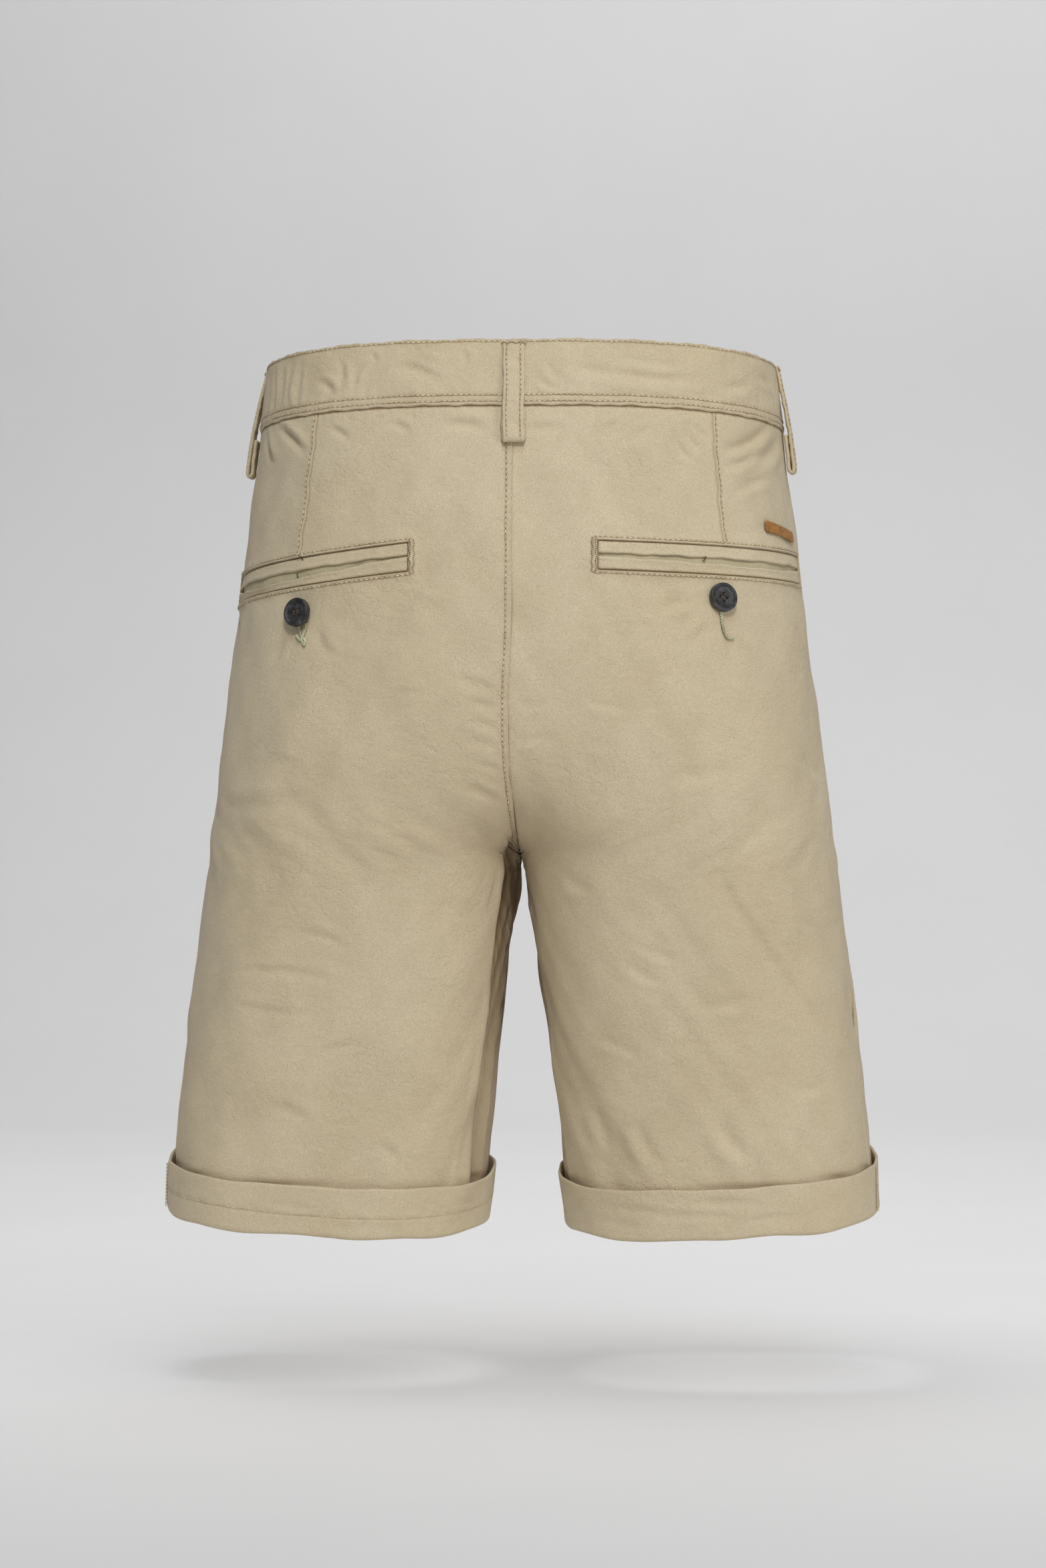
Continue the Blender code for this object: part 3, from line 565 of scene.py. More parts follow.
# ---- panels ----
panelSizes = {
    "evenStep": 2.3, "foot": 2.0, "levelFrom": 96.0, "levelTo": 472.0, "levelEnd": 500.0,
    "spreadFrom": 188.0, "spreadTo": 366.0, "steady": 0.4, "crotchEnd": 287.0, "frontUv": 240.0,
    "legsFrom": 284.0,
}
pockets = {
    left: {"start": 59.5, "inner": 118.8, "outer": 135.0, "length": 152.0},
    right: {"start": 50.3, "inner": 118.0, "outer": 123.0, "length": 157.0},
}
pocketCut = {"half": 8.6, "lip": 1.15, "sink": 1.5, "stitchOut": 1.8, "hold": 14.0, "fade": 36.0}
darts = {left: (118.0, 130.0), right: (119.0, 127.0)}  # along at the waist and at the pocket
seamShift = {"most": 2.3, "at": 215.0, "reach": 70.0, "width": 16.0}
flyStitch = {"width": 38.0, "bottom": 206.0, "curve": 30.0}
centreStitch = 2.6


def pocketMiddle(side):
    pocket = pockets[side]
    slope = (pocket["outer"] - pocket["inner"]) / pocket["length"]
    return (pocket["inner"] + pocket["outer"]) / 2, slope, pocket["start"] + pocket["length"] / 2


def aboveCrotch(drop):
    # 1 where the two sides are sewn together, 0 on the legs
    return smooth((panelSizes["crotchEnd"] - drop) / 8)


def dartAlong(side, drop):
    # the dart runs from the waist to the pocket, not quite straight
    start, foot = 36, pocketMiddle(side)[0] - pocketCut["half"]
    top, low = darts[side]
    share = np.clip((drop - start) / (foot - start), 0, 1)
    return top + (low - top) * share + 0.35 * np.sin(drop / 5.1) + 0.25 * np.sin(drop / 2.3 + side)


def fromCentre(panel, drop, share):
    # cloth from the centre seam; nearer the centre it widens quickly where the crotch begins
    lengthOf = seamLength if panel == "back" else lambda at: totalLength(at) - seamLength(at)
    length = lengthOf(drop)
    high, low = lengthOf(panelSizes["spreadFrom"]), lengthOf(panelSizes["spreadTo"])
    run = panelSizes["spreadTo"] - panelSizes["spreadFrom"]
    even = high + (low - high) * np.clip((drop - panelSizes["spreadFrom"]) / run, 0, 1)
    even = np.where((drop > panelSizes["spreadFrom"]) & (drop < panelSizes["spreadTo"]), even, length)
    steady = panelSizes["steady"]
    near = (length - (1 - steady) * even) * share / steady
    return np.where(share < steady, near, length - (1 - share) * even)


# the fold inside each thigh: how far from the seam, how it leans, how deep, and how much painted shade it
# gets
thigh = {
    left: {"edge": 47.0, "lean": 0.0, "in": 5.5, "shade": 1.0},
    right: {"edge": 24.0, "lean": 8.0, "in": 1.6, "shade": 0.2},
}
# pleats that fan down and outwards from the crotch: along at the crotch, along at the hem, height, width
fan = {
    left: [(6.0, 34.0, 1.5, 2.2), (14.0, 44.0, 1.2, 2.0), (22.0, 58.0, 1.0, 1.8), (0.5, 22.0, 1.6, 1.6)],
    right: [(4.0, 20.0, 0.6, 2.2), (12.0, 30.0, 0.5, 2.4)],
}


def thighEdge(side, drop):
    # near the crotch the edge runs in to the centre seam
    runIn = 30.0 * (1 - smooth((drop - 272) / 42))
    return thigh[side]["edge"] + thigh[side]["lean"] * (drop - 285) / 150 - runIn


def fanRidges(side, half, drop):
    ridges = 0.0
    below = np.clip((drop - panelSizes["legsFrom"]) / 190, 0, 1)
    for crotch, hem, tall, width in fan[side]:
        line = crotch + (hem - crotch) * below ** 0.8
        ridges = ridges + tall * (1 - 0.5 * below) * bell((half - line) / width)
    return ridges


def thighFold(side, half, drop):
    # inside this edge the cloth falls back towards the inseam
    edge = thighEdge(side, drop)
    down = smooth((drop - 268) / 26)
    hollow = -thigh[side]["in"] * bell((half - edge + 15) / 9.5) * smooth((half + 2) / 12)
    return down * (hollow + 1.5 * fanRidges(side, half, drop) + 0.9 * bell((half - edge) / 3.6))


def pocketEdge(side, half, drop):
    # distance outside the pocket's cut edge, and the drop of its middle
    pocket, middle = pockets[side], pocketMiddle(side)
    centre = middle[0] + middle[1] * (half - middle[2])
    across = np.maximum(pocket["start"] - half, half - pocket["start"] - pocket["length"])
    upright = np.abs(drop - centre) - pocketCut["half"]
    out = np.where((across > 0) & (upright > 0), np.hypot(across, upright), np.maximum(across, upright))
    return out, centre


def panelEdges(half, drop):
    # drops of the waistband's lower edge and of the turn-up's upper edge behind a place on the back
    band = waistDrop(half * waistSeam / seamLength(drop)) + shared["bandHeight"]
    foot = hemDrop(half * hemTotal / totalLength(drop)) - shared["turnUpHeight"]
    return band, foot


def backShade(side, half, drop):
    # painted shade: darker cloth colour where shade falls, in the stitched lines, under the edges and inside
    # the thigh
    out, centre = pocketEdge(side, half, drop)
    shade = 0.7 * bell((out + 0.1) / 0.4) + 0.16 * bell((out - pocketCut["stitchOut"]) / 0.8)
    off = half - dartAlong(side, drop)
    inDart = smooth((centre - pocketCut["half"] - drop) / 2)
    shade += inDart * (0.55 * bell((off + 0.3) / 0.45) + 0.16 * bell((off - 1.7) / 0.8))
    stitched = 0.18 * bell((half - centreStitch) / 0.8) if side == left else 0
    shade += aboveCrotch(drop) * (0.55 * bell((half + 0.2) / 0.55) + stitched)
    shade += 0.4 * bell((seamLength(drop) - half) / 0.8)
    # painted shadow under the waistband's lower edge and along the turn-up's upper edge
    band, foot = panelEdges(half, drop)
    shade += 1.0 * bell((drop - band - 0.1) / 0.75)
    shade += 0.6 * bell((drop - foot + 0.2) / 1.0)
    # painted shade inside the thigh, between the legs: weaker lower down, lighter on the pleat ridges and
    # darker in their troughs
    steady = steadyPlace(half, drop)
    inside = smooth((thighEdge(side, drop) - steady - 1) / 5) * smooth((drop - 270) / 24)
    paler = 1.0 - 0.6 * smooth((drop - 330) / 110)
    ridged = np.clip(1.15 - 0.75 * fanRidges(side, steady, drop), 0.2, 1)
    return np.clip(shade + thigh[side]["shade"] * inside * paler * ridged, 0, 1)


def frontShade(side, half, drop):
    # painted shade: darker along the side seam and on the inner thigh near the crotch
    fromFront = totalLength(drop) - half
    shade = 0.4 * bell((half - seamLength(drop)) / 0.8)
    shade += thigh[side]["shade"] * smooth((46 - fromFront) / 26) * smooth((drop - 270) / 24)
    return np.clip(shade, 0, 1)


def backRelief(side, half, drop):
    # how far the back panel's surface stands off the form
    middle = pocketMiddle(side)
    steady = steadyPlace(half, drop)
    lift = softWaves(side, steady, drop) * smooth((drop - 42) / 30) + pressed(side, "back", steady, drop)
    lift += thighFold(side, steady, drop)
    # the pocket's cut edge: a raised lip, and the cloth behind it pressed in
    out, centre = pocketEdge(side, half, drop)
    calm = smooth((out - 1.5) / 9)
    lift = lift * (0.25 + 0.75 * calm)
    puckers = 0.16 * np.sin(half / 0.52) + 0.22 * np.sin(half / 2.1 + 2 * np.sin(half / 9))
    lip = pocketCut["lip"] * bell((out - 0.7) / 2.6) - 0.42 * bell((out - pocketCut["stitchOut"]) / 0.6)
    lift += np.where(out > 0, lip + puckers * bell((out - 1.8) / 1.6), 0)
    lift = np.where(out <= 0.02, -pocketCut["sink"], lift)
    # the dart: a fold edge with a stitched line beside it
    if np.any(drop < middle[0]):
        off = half - dartAlong(side, drop)
        inDart = smooth((centre - pocketCut["half"] + 1 - drop) / 2)
        lift += inDart * (0.42 * smooth((off + 0.3) / 0.5) * bell(np.maximum(off, 0) / 5)
                          - 0.4 * bell((off + 0.25) / 0.45) - 0.28 * bell((off - 1.7) / 0.5)
                          + 0.10 * np.sin(drop / 0.55) * bell((off - 1.5) / 2.2))
    # centre seam: the left panel laps over the right one
    high = aboveCrotch(drop)
    if side == left:
        lift += high * (0.55 * bell(np.maximum(half, 0) / 4.2) - 0.30 * bell((half - centreStitch) / 0.6)
                        + 0.16 * np.sin(drop / 0.56) * bell((half - centreStitch) / 2.6)
                        + 0.16 * np.sin(drop / 2.3 + 2 * np.sin(drop / 17)) * bell((half - 4) / 5))
    else:
        lift -= high * 0.7 * bell(np.maximum(half, 0) / 1.0)
        lift += high * 0.14 * np.sin(drop / 2.9 + 2 * np.sin(drop / 21)) * bell((half - 4) / 4)
    lift += (1 - high) * (0.35 * bell((half - 3) / 3) - 0.5 * bell(half / 0.8))
    # side seam: the edge rolls in, with a faint ridge beside it
    fromSeam = seamLength(drop) - half
    lift += 0.30 * bell((fromSeam - 3.2) / 2.6) - 0.55 * bell(fromSeam / 0.9)
    # gathers under the waistband
    band, foot = panelEdges(half, drop)
    below = drop - band
    gathers = 0.30 * np.sin(half / 0.95 + 2 * np.sin(half / 9)) * np.sin(half / 6.3) + 0.12
    lift += gathers * bell((below - 2.5) / 4.5) - 0.35 * bell(below / 1.2)
    # slack over the turn-up
    slack = 0.45 * np.sin(half / 8.7 + side) * np.sin(half / 23 + 1.0)
    lift += slack * bell((foot - drop) / 16) * smooth((foot - drop + 6) / 6)
    return lift


def frontRelief(side, half, drop):
    fromSeam = half - seamLength(drop)
    fromFront = totalLength(drop) - half
    lift = softWaves(side, fromSeam + panelSizes["frontUv"], drop) * smooth((drop - 60) / 30)
    lift += pressed(side, "front", fromSeam, drop)
    lift -= 1.1 * bell(np.maximum(fromSeam, 0) / 1.4)
    high = aboveCrotch(drop)
    if side == left:
        lift += high * (0.6 * bell(np.maximum(fromFront, 0) / 4.0)
                        - 0.3 * bell((fromFront - centreStitch) / 0.6))
        lift -= np.where(drop < flyStitch["bottom"], 0.3 * bell((fromFront - flyLine(drop)) / 0.8), 0) * high
    else:
        lift -= high * 0.9 * bell(np.maximum(fromFront, 0) / 1.0)
    lift -= (1 - high) * 1.0 * bell(np.maximum(fromFront, 0) / 1.2)
    share = fromSeam / (totalLength(drop) - seamLength(drop))
    below = drop - waistDrop(waistSeam + share * (waistTotal - waistSeam)) - shared["bandHeight"]
    gathers = 0.26 * np.sin(half / 0.95) * np.sin(half / 5.9) + 0.1
    return lift + gathers * bell((below - 2.5) / 4.5) - 0.35 * bell(below / 1.2)


def flyLine(drop):
    # distance from the centre front of the fly's line of stitches
    rest = np.clip((drop - flyStitch["bottom"] + flyStitch["curve"]) / flyStitch["curve"], 0, 1)
    return flyStitch["width"] * np.sqrt(np.clip(1 - rest**2, 0, 1))


def panelGrid(side, panel):
    # half-ring place and drop of every grid point, with rows and columns along the features
    size = panelSizes
    back = panel == "back"
    middle, slope, at = pocketMiddle(side)
    foot = middle - pocketCut["half"]
    if back:
        whole = seamLength(middle)
        pocket, dart = pockets[side], darts[side][1]
        marks = [(0, 0.45, 6), (centreStitch, 0.4, 7), (dart, 0.4, 8), (pocket["start"], 0.26, 6),
                 (pocket["start"] + pocket["length"], 0.26, 6), (whole, 0.5, 6)]
        lines = spacedLines(whole, size["evenStep"], marks)
        rowMarks = [(foot, 0.26, 5.5), (middle + pocketCut["half"], 0.26, 5.5)]
    else:
        whole = totalLength(middle) - seamLength(middle)
        lines = spacedLines(whole, size["evenStep"] * 1.15,
                            [(0, 0.5, 6), (flyStitch["width"], 0.7, 5), (whole, 0.5, 6)])
        rowMarks = []
    rowMarks = [(0, 0.6, 9), *rowMarks, (size["levelEnd"], 1.2, 10)]
    levels = spacedLines(size["levelEnd"], size["evenStep"] * (1.0 if back else 1.2), rowMarks)
    level, share = np.meshgrid(levels, lines / whole, indexing="ij")
    waistHalf = share * waistSeam if back else waistTotal - share * (waistTotal - waistSeam)
    hemHalf = share * hemSeam if back else hemTotal - share * (hemTotal - hemSeam)
    top = waistDrop(waistHalf) + shared["bandHeight"] - 0.8
    bottom = hemDrop(hemHalf) - size["foot"]
    first, last = size["levelFrom"], size["levelTo"]
    drop = np.where(level < first, top + (first - top) * level / first, level)
    low = (level - last) / (size["levelEnd"] - last)
    drop = np.where(level > last, last + (bottom - last) * low, drop)
    if not back:
        half = totalLength(drop) - fromCentre(panel, drop, share)
    else:
        near = smooth((pocketCut["hold"] + pocketCut["fade"] - np.abs(level - middle)) / pocketCut["fade"])
        evenPlace = share * whole
        drop = drop + near * slope * (evenPlace - at)
        half = fromCentre(panel, drop, share)
        hold = near * smooth((whole - evenPlace) / 14)
        half = half + hold * (evenPlace - half)
        dartShare = dart / whole
        away = dartAlong(side, drop) - (fromCentre(panel, drop, dartShare) * (1 - near) + dart * near)
        away = np.where(level < foot, away, away * smooth(1 - (level - foot) / 6))
        half = half + away * bell((evenPlace - dart) / 30)
    # the edges: the left side laps over the centre seam, and the back reaches over the side seam
    lap = 0.9 * smooth((282 - drop[:, 0]) / 20) if side == left else -0.15
    half[:, 0] = -lap if back else totalLength(drop[:, 0]) + lap
    half[:, -1] = seamLength(drop[:, -1]) + (0.5 if back else 0.15)
    return half, drop


def shiftSeam(points, half, drop, panel):
    if panel == "back":
        down = np.cos(np.clip((drop - seamShift["at"]) / seamShift["reach"], -1, 1) * np.pi / 2) ** 2
        points[..., 0] += seamShift["most"] * down * bell(half / seamShift["width"]) * mm
    return points


def panelPoint(side, panel, half, drop, lift=0.0):
    relief = backRelief if panel == "back" else frontRelief
    half, drop = np.broadcast_arrays(np.asarray(half, float), np.asarray(drop, float))
    points = onForm(side, half, drop, relief(side, half, drop) + lift)
    return shiftSeam(points, half, drop, panel)


def makePanel(side, panel):
    half, drop = panelGrid(side, panel)
    points = panelPoint(side, panel, half, drop)
    # the two sides stay apart under the crotch
    apart = shared["gap"] / 2 * mm
    touching = (drop > panelSizes["legsFrom"]) & (side * points[..., 0] < apart)
    points[..., 0] = np.where(touching, side * apart, points[..., 0])
    name = f"{panel}_{sideNames[side]}"
    if panel == "back":
        along, shade = steadyPlace(half, drop), backShade(side, half, drop)
    else:
        along, shade = half - seamLength(drop) + panelSizes["frontUv"], frontShade(side, half, drop)
    uv = clothUv(along, drop)
    if panel == "front":  # columns run from the centre front, so they are turned round
        points, uv, shade = points[:, ::-1], uv[:, ::-1], shade[:, ::-1]
    made = sheetObject(f"cloth_{name}", points, side, shared["panelWall"], cotton, uv, shade)
    finishPiece(made, "cotton", name)
    # the piece's points on the bare form, without creases and puckers
    plain = onForm(side, half, drop, np.zeros(half.shape))
    return made


for side in (left, right):
    for panel in ("back", "front"):
        makePanel(side, panel)
print("panels made")

# ---- waistband ----
band = {"columnStep": 1.35, "corner": 1.2, "stitches": (1.6, 36.7, 33.0), "overlap": 3.0, "underlap": 35.0}
# dents in the waistband: side, from along, down to along, down, bow, width, depth
bandDents = {
    left: [(118, 20, 104, 30, 2, 2.2, 0.8), (104, 8, 101, 26, 2, 2.0, 0.5), (88, 12, 92, 28, -2, 2.0, 0.5),
           (70, 16, 40, 26, 3, 3.0, 0.7), (60, 12, 40, 18, 2, 2.4, 0.45), (150, 4, 148, 34, 2, 2.2, 0.6),
           (160, 4, 157, 34, 2, 2.0, 0.7), (140, 5, 139, 34, -2, 2.2, 0.6), (170, 6, 168, 34, 2, 2.0, 0.5),
           (131, 5, 130, 34, -1, 1.8, 0.4), (30, 6, 26, 16, 1, 2.0, 0.4), (84, 6, 80, 14, 1, 1.6, 0.4),
           (230, 5, 226, 34, 2, 2.5, 0.6), (280, 10, 320, 16, 3, 3.0, 0.6), (260, 8, 256, 30, 1, 2.5, 0.5)],
    right: [(30, 16, 120, 22, 3, 3.4, 0.9), (60, 10, 100, 13, 2, 2.6, 0.5), (122, 24, 150, 17, 2, 2.6, 0.8),
            (20, 12, 28, 26, 1, 2.2, 0.5), (14, 24, 30, 31, 1, 2.0, 0.5), (150, 10, 176, 14, 2, 2.6, 0.6),
            (186, 8, 184, 30, 1, 2.2, 0.5), (200, 6, 198, 32, 1, 2.4, 0.6), (240, 5, 236, 34, 2, 2.5, 0.6),
            (290, 10, 330, 18, 3, 3.0, 0.6), (80, 27, 130, 30, 2, 2.4, 0.4)],
}


def bandPlace(place, down):
    # place counts cloth at the waist, from the centre back
    drop = waistDrop(np.minimum(place, waistTotal)) + down
    seam, total = seamLength(drop), totalLength(drop)
    back = place / waistSeam * seam
    front = seam + (place - waistSeam) / (waistTotal - waistSeam) * (total - seam)
    past = np.where(place < waistTotal, front, total + place - waistTotal)
    return np.where(place < waistSeam, back, past), drop


def bandRelief(side, place, down):
    height = shared["bandHeight"]
    lift = (0.30 * np.sin(place / 13 + side) * np.sin(down / 9 + 0.6) + 0.22 * np.sin(place / 6.1 + down / 7)
            + 0.16 * np.sin(place / 3.4 - down / 11 + side))
    lift = lift - 1.6 * creased(bandDents[side], place, down, ridge=0.7)
    lift = lift * smooth(down / 5) * smooth((height - down - 3) / 7)
    pucker = np.sin(place / 0.51) * 0.10 + np.sin(place / 1.1 + 2 * np.sin(place / 7)) * 0.10
    for row in band["stitches"]:
        lift += -0.30 * bell((down - row) / 0.6) + pucker * bell((down - row) / 1.6)
    lift += 0.22 * bell((down - 0.4) / 0.9) + 0.30 * bell((down - 38.4) / 1.0)
    # gathers that run up from the lower rows
    gathers = 0.20 * np.sin(place / 1.35 + 1.5 * np.sin(place / 11)) * np.sin(place / 8.3 + side)
    return lift + gathers * bell((down - 30) / 4.0)


def makeWaistband(side):
    height, wall, corner = shared["bandHeight"], shared["bandWall"], band["corner"]
    length = waistTotal + (band["overlap"] if side == left else band["underlap"])
    place = np.linspace(shared["gap"] / 2, length, int(length / band["columnStep"]))
    rise = np.linspace(height - corner, corner, 30)
    bendIn = np.linspace(0, np.pi / 2, 4)[1:]
    # profile from the inner lower corner, round the outside and over the top
    profile = [(height - corner + corner * math.sin(a), -corner + corner * math.cos(a)) for a in bendIn[::-1]]
    profile += [(down, 0.0) for down in rise]
    profile += [(corner - corner * math.sin(a), -corner + corner * math.cos(a)) for a in bendIn]
    profile += [(corner - corner * math.cos(a), -wall + corner - corner * math.sin(a)) for a in bendIn]
    profile += [(down, -wall) for down in np.linspace(corner + 2, height - corner, 8)]
    profile += [(height - corner + corner * math.sin(a), -wall + corner - corner * math.cos(a))
                for a in bendIn[:-1]]
    down, deep = np.array(profile).T
    down, along = np.meshgrid(down, place, indexing="ij")
    deep = np.broadcast_to(deep[:, None], down.shape)
    under = np.where(side == right, smooth((along - waistTotal + 20) / 14), 0)
    lift = shared["bandLift"] - (wall + 1.5 * shared["gap"]) * under + deep
    lift = lift + bandRelief(side, along, down) * np.where(deep > -1.25, 1.0, 0.5)
    half, drop = bandPlace(along, down)
    edge = 0.45 * np.sin(along / 2.9) * np.sin(along / 7.7 + side) * bell((down - height) / 4)
    edge = edge + (0.22 * np.sin(along / 1.7) + 0.3 * np.sin(along / 6.1 + side)) * bell(down / 3)
    points = onForm(side, half, drop + edge, lift)
    rows, columns = down.shape
    faces = gridFaces(rows, columns, side == right, wrapRows=True)
    ends = [[r * columns for r in range(rows)], [r * columns + columns - 1 for r in range(rows)]]
    ends[0 if side == right else 1].reverse()
    uv = clothUv(half, drop).reshape(-1, 2)
    name = f"waistband_{sideNames[side]}"
    made = meshObject(f"cloth_{name}", points.reshape(-1, 3), faces + ends, cotton, uv)
    outside = deep > -0.9
    # painted shade: darker along the stitched rows outside, and on the inside face under the top fold
    rowShade = sum(0.2 * bell((down - row) / 0.9) for row in band["stitches"])
    addShade(made, "shade", np.clip(rowShade * outside + 0.45 * (~outside & (down > height - 2)), 0, 1))
    finishPiece(made, "cotton", name)
    return made


for side in (left, right):
    makeWaistband(side)
print("waistband made")

# ---- turn-ups ----
turnUp = {"lift": 2.9, "flare": 1.3, "wall": 1.7, "columnStep": 1.5, "stitchUp": 13.3, "flat": 0.034}
# soft dents in the turn-ups: place round the leg, height above the fold, to place, height, bow, width, depth
cuffDents = {
    left: [(170, 20, 140, 17, 1, 2.4, 0.5), (150, 9, 90, 8, 1, 2.4, 0.4), (60, 20, 30, 17, 1, 2.0, 0.5),
           (110, 24, 104, 14, 1, 3.0, 0.5), (300, 20, 340, 15, 2, 3.0, 0.6),
           (230, 24, 236, 8, 1, 3.0, 0.6)],
    right: [(80, 19, 110, 15, 1, 2.6, 0.7), (100, 15, 150, 12, 1.5, 2.2, 0.6),
            (120, 22, 170, 19, 1.5, 2.6, 0.6),
            (150, 9, 186, 11, 1, 2.2, 0.5), (60, 10, 96, 8, 1, 2.4, 0.4), (300, 22, 350, 14, 2, 3.0, 0.6)],
}


def cuffStitch(side, place):
    # height of the stitched row above the fold
    return turnUp["stitchUp"] + 0.9 * np.sin(place / 31 + side)


def cuffLift(up):
    return turnUp["lift"] + turnUp["flare"] * up / shared["turnUpHeight"]


def cuffRelief(side, place, up):
    lift = 0.30 * np.sin(place / 14 + side) * np.sin(up / 10 + 0.8) + 0.16 * np.sin(place / 5.2 + up / 6)
    lift = lift - creased(cuffDents[side], place, up, ridge=0.5)
    off = up - cuffStitch(side, place)
    strong = 1.0 if side == left else 0.35
    pucker = np.sin(place / 1.6 + 2 * np.sin(place / 13))
    lift += strong * (-0.34 * bell(off / 0.9) + 0.20 * pucker * bell(off / 2.2))
    return lift + 0.5 * bell((place - hemSeam) / 5) * smooth(up / 8)


def makeTurnUp(side):
    out, flare, high, wall = turnUp["lift"], turnUp["flare"], shared["turnUpHeight"], turnUp["wall"]
    inside = out - wall
    profile = [(out + flare * up / high, up) for up in np.linspace(high - 0.7, 1.8, 24)]
    profile += [(out - 0.35, 0.9), (out - 1.0, 0.3), (inside, 0.0), (inside - 1.2, 0.0), (-1.3, 0.1),
                (-1.3, wall), (inside - 0.6, wall + 0.2)]
    profile += [(inside + flare * up / high, up) for up in np.linspace(wall + 1.0, high - 0.7, 8)]
    profile += [(inside + flare + 0.25, high - 0.15), (out + flare - wall / 2, high),
                (out + flare - 0.25, high - 0.15)]
    lift, up = np.array(profile).T
    rows, columns = len(up), int(hemTotal / turnUp["columnStep"])
    up, place = np.meshgrid(up, np.arange(columns) * hemTotal / columns, indexing="ij")
    lift = np.broadcast_to(lift[:, None], up.shape)
    uneven = 0.55 * np.sin(place / 9.3 + side) + 0.4 * np.sin(place / 17.1 + 2)
    uneven = uneven + 0.35 * np.abs(np.sin(place / 13.7))
    wavyTop = 0.35 * np.sin(place / 12 + side) + 0.2 * np.sin(place / 5.3)
    drop = hemDrop(place) - up + uneven * bell(up / 9) - wavyTop * bell((up - high) / 6)
    outer = lift > inside + flare * up / high + 0.4
    half = place / hemTotal * totalLength(drop)
    points = onForm(side, half, drop, lift + cuffRelief(side, place, up) * np.where(outer, 1.0, 0.6))
    uv = clothUv(half, drop).reshape(-1, 2)
    faces = gridFaces(rows, columns, side == left, wrapRows=True, wrapColumns=True)
    name = f"turn_up_{sideNames[side]}"
    made = meshObject(f"cloth_{name}", points.reshape(-1, 3), faces, cotton, uv)
    finishPiece(made, "cotton", name)
    return made


for side in (left, right):
    makeTurnUp(side)
print("turn-ups made")

# ---- belt loops ----
loops = {
    "loop_back": {"side": left, "along": -1.5, "width": 12.6, "length": 61.5, "stand": 2.6},
    "loop_side_left": {"side": left, "along": 213.0, "width": 12.5, "length": 66.0, "stand": 4.8},
    "loop_side_right": {"side": right, "along": 198.0, "width": 12.5, "length": 66.0, "stand": 3.4},
    "loop_front_left": {"side": left, "along": 345.0, "width": 12.5, "length": 62.0, "stand": 4.0},
    "loop_front_right": {"side": right, "along": 345.0, "width": 12.5, "length": 62.0, "stand": 4.0},
}
loopSizes = {"thick": 1.8, "bend": 1.9, "edgeStitch": 2.3, "rows": 74, "columns": 15}


def loopPath(loop):
    # lift off the form and distance down, from the band's top edge round the fold and back up
    bend, wall = loopSizes["bend"], shared["loopWall"]
    base = shared["bandLift"] + shared["gap"] + wall
    path = [(base, 1.0), (base + 0.3, 5.0)]
    for share in np.linspace(0.2, 0.9, 7):
        bow = math.sin(math.pi * min(share * 1.15, 1.0) / 2)
        path.append((base + loop["stand"] * bow, 1.0 + (loop["length"] - bend) * share))
    out = base + loop["stand"]
    inner = max(out - 2 * bend - 0.6, shared["gap"] + 0.2)
    centre = (out + inner) / 2
    for angle in np.linspace(0, math.pi, 9):
        path.append((centre + (out - inner) / 2 * math.cos(angle),
                     loop["length"] - bend + bend * math.sin(angle)))
    path += [(inner, loop["length"] - bend - 5.0), (inner, shared["bandHeight"] + 3.5)]
    path = np.array(path)
    run = np.concatenate([[0], np.cumsum(np.hypot(*np.diff(path, axis=0).T))])
    even = np.linspace(0, run[-1], loopSizes["rows"])
    fine = np.stack([np.interp(even, run, path[:, 0]), np.interp(even, run, path[:, 1])], axis=1)
    for _ in range(2):
        fine[1:-1] = (fine[:-2] + 2 * fine[1:-1] + fine[2:]) / 4
    return fine, even


def loopTop(loop):
    return waistDrop(np.array([loop["along"]]))[0]


def loopPoints(loop, across, fine, lift):
    drop = loopTop(loop) + fine[..., 1]
    half = loop["along"] + across + loop["along"] / waistTotal * (totalLength(drop) - waistTotal)
    return onForm(loop["side"], half, drop, fine[..., 0] + lift)


def makeLoop(name, loop):
    fine, even = loopPath(loop)
    across = np.linspace(-1, 1, loopSizes["columns"]) * loop["width"] / 2
    run, over = np.meshgrid(even, across, indexing="ij")
    edge = loop["width"] / 2 - np.abs(over)
    seed = sum(map(ord, name)) % 7
    lift = (-0.35 * bell(edge / 0.5) + 0.25 * bell((edge - 0.9) / 0.8)
            - 0.30 * bell((edge - loopSizes["edgeStitch"]) / 0.5)
            + 0.16 * np.sin(run / 2.1 + over / 5 + seed) * np.sin(run / 6.7 + seed)
            + 0.10 * np.sin(run / 0.5) * bell((edge - 2.0) / 1.5))
    for place, depth in ((13, 0.35), (21, 0.3), (34, 0.4), (44, 0.3)):
        lift -= depth * bell((run - place - over * 0.12 - seed * 0.4) / 0.9)
    wobble = 0.22 * np.sin(run / 5.3 + seed) + 0.12 * np.sin(run / 1.9)
    points = loopPoints(loop, over + wobble, fine[:, None, :], lift)
    uv = clothUv(over + loop["along"], run)
    made = sheetObject(f"cloth_{name}", points, loop["side"], loopSizes["thick"], cotton, uv)
    finishPiece(made, "cotton", name)
    return made


for name, loop in loops.items():
    makeLoop(name, loop)
print("belt loops made")

# ---- pocket welts and facings ----
welt = {"wall": 0.9, "lift": 0.30, "inset": 0.55, "columns": 110, "rows": 9, "lipRoll": 0.5,
        "flat": 0.010, "shown": 0.0075}
facing = {"above": 3.0, "height": 10.8, "wall": 0.35, "lift": -0.95}
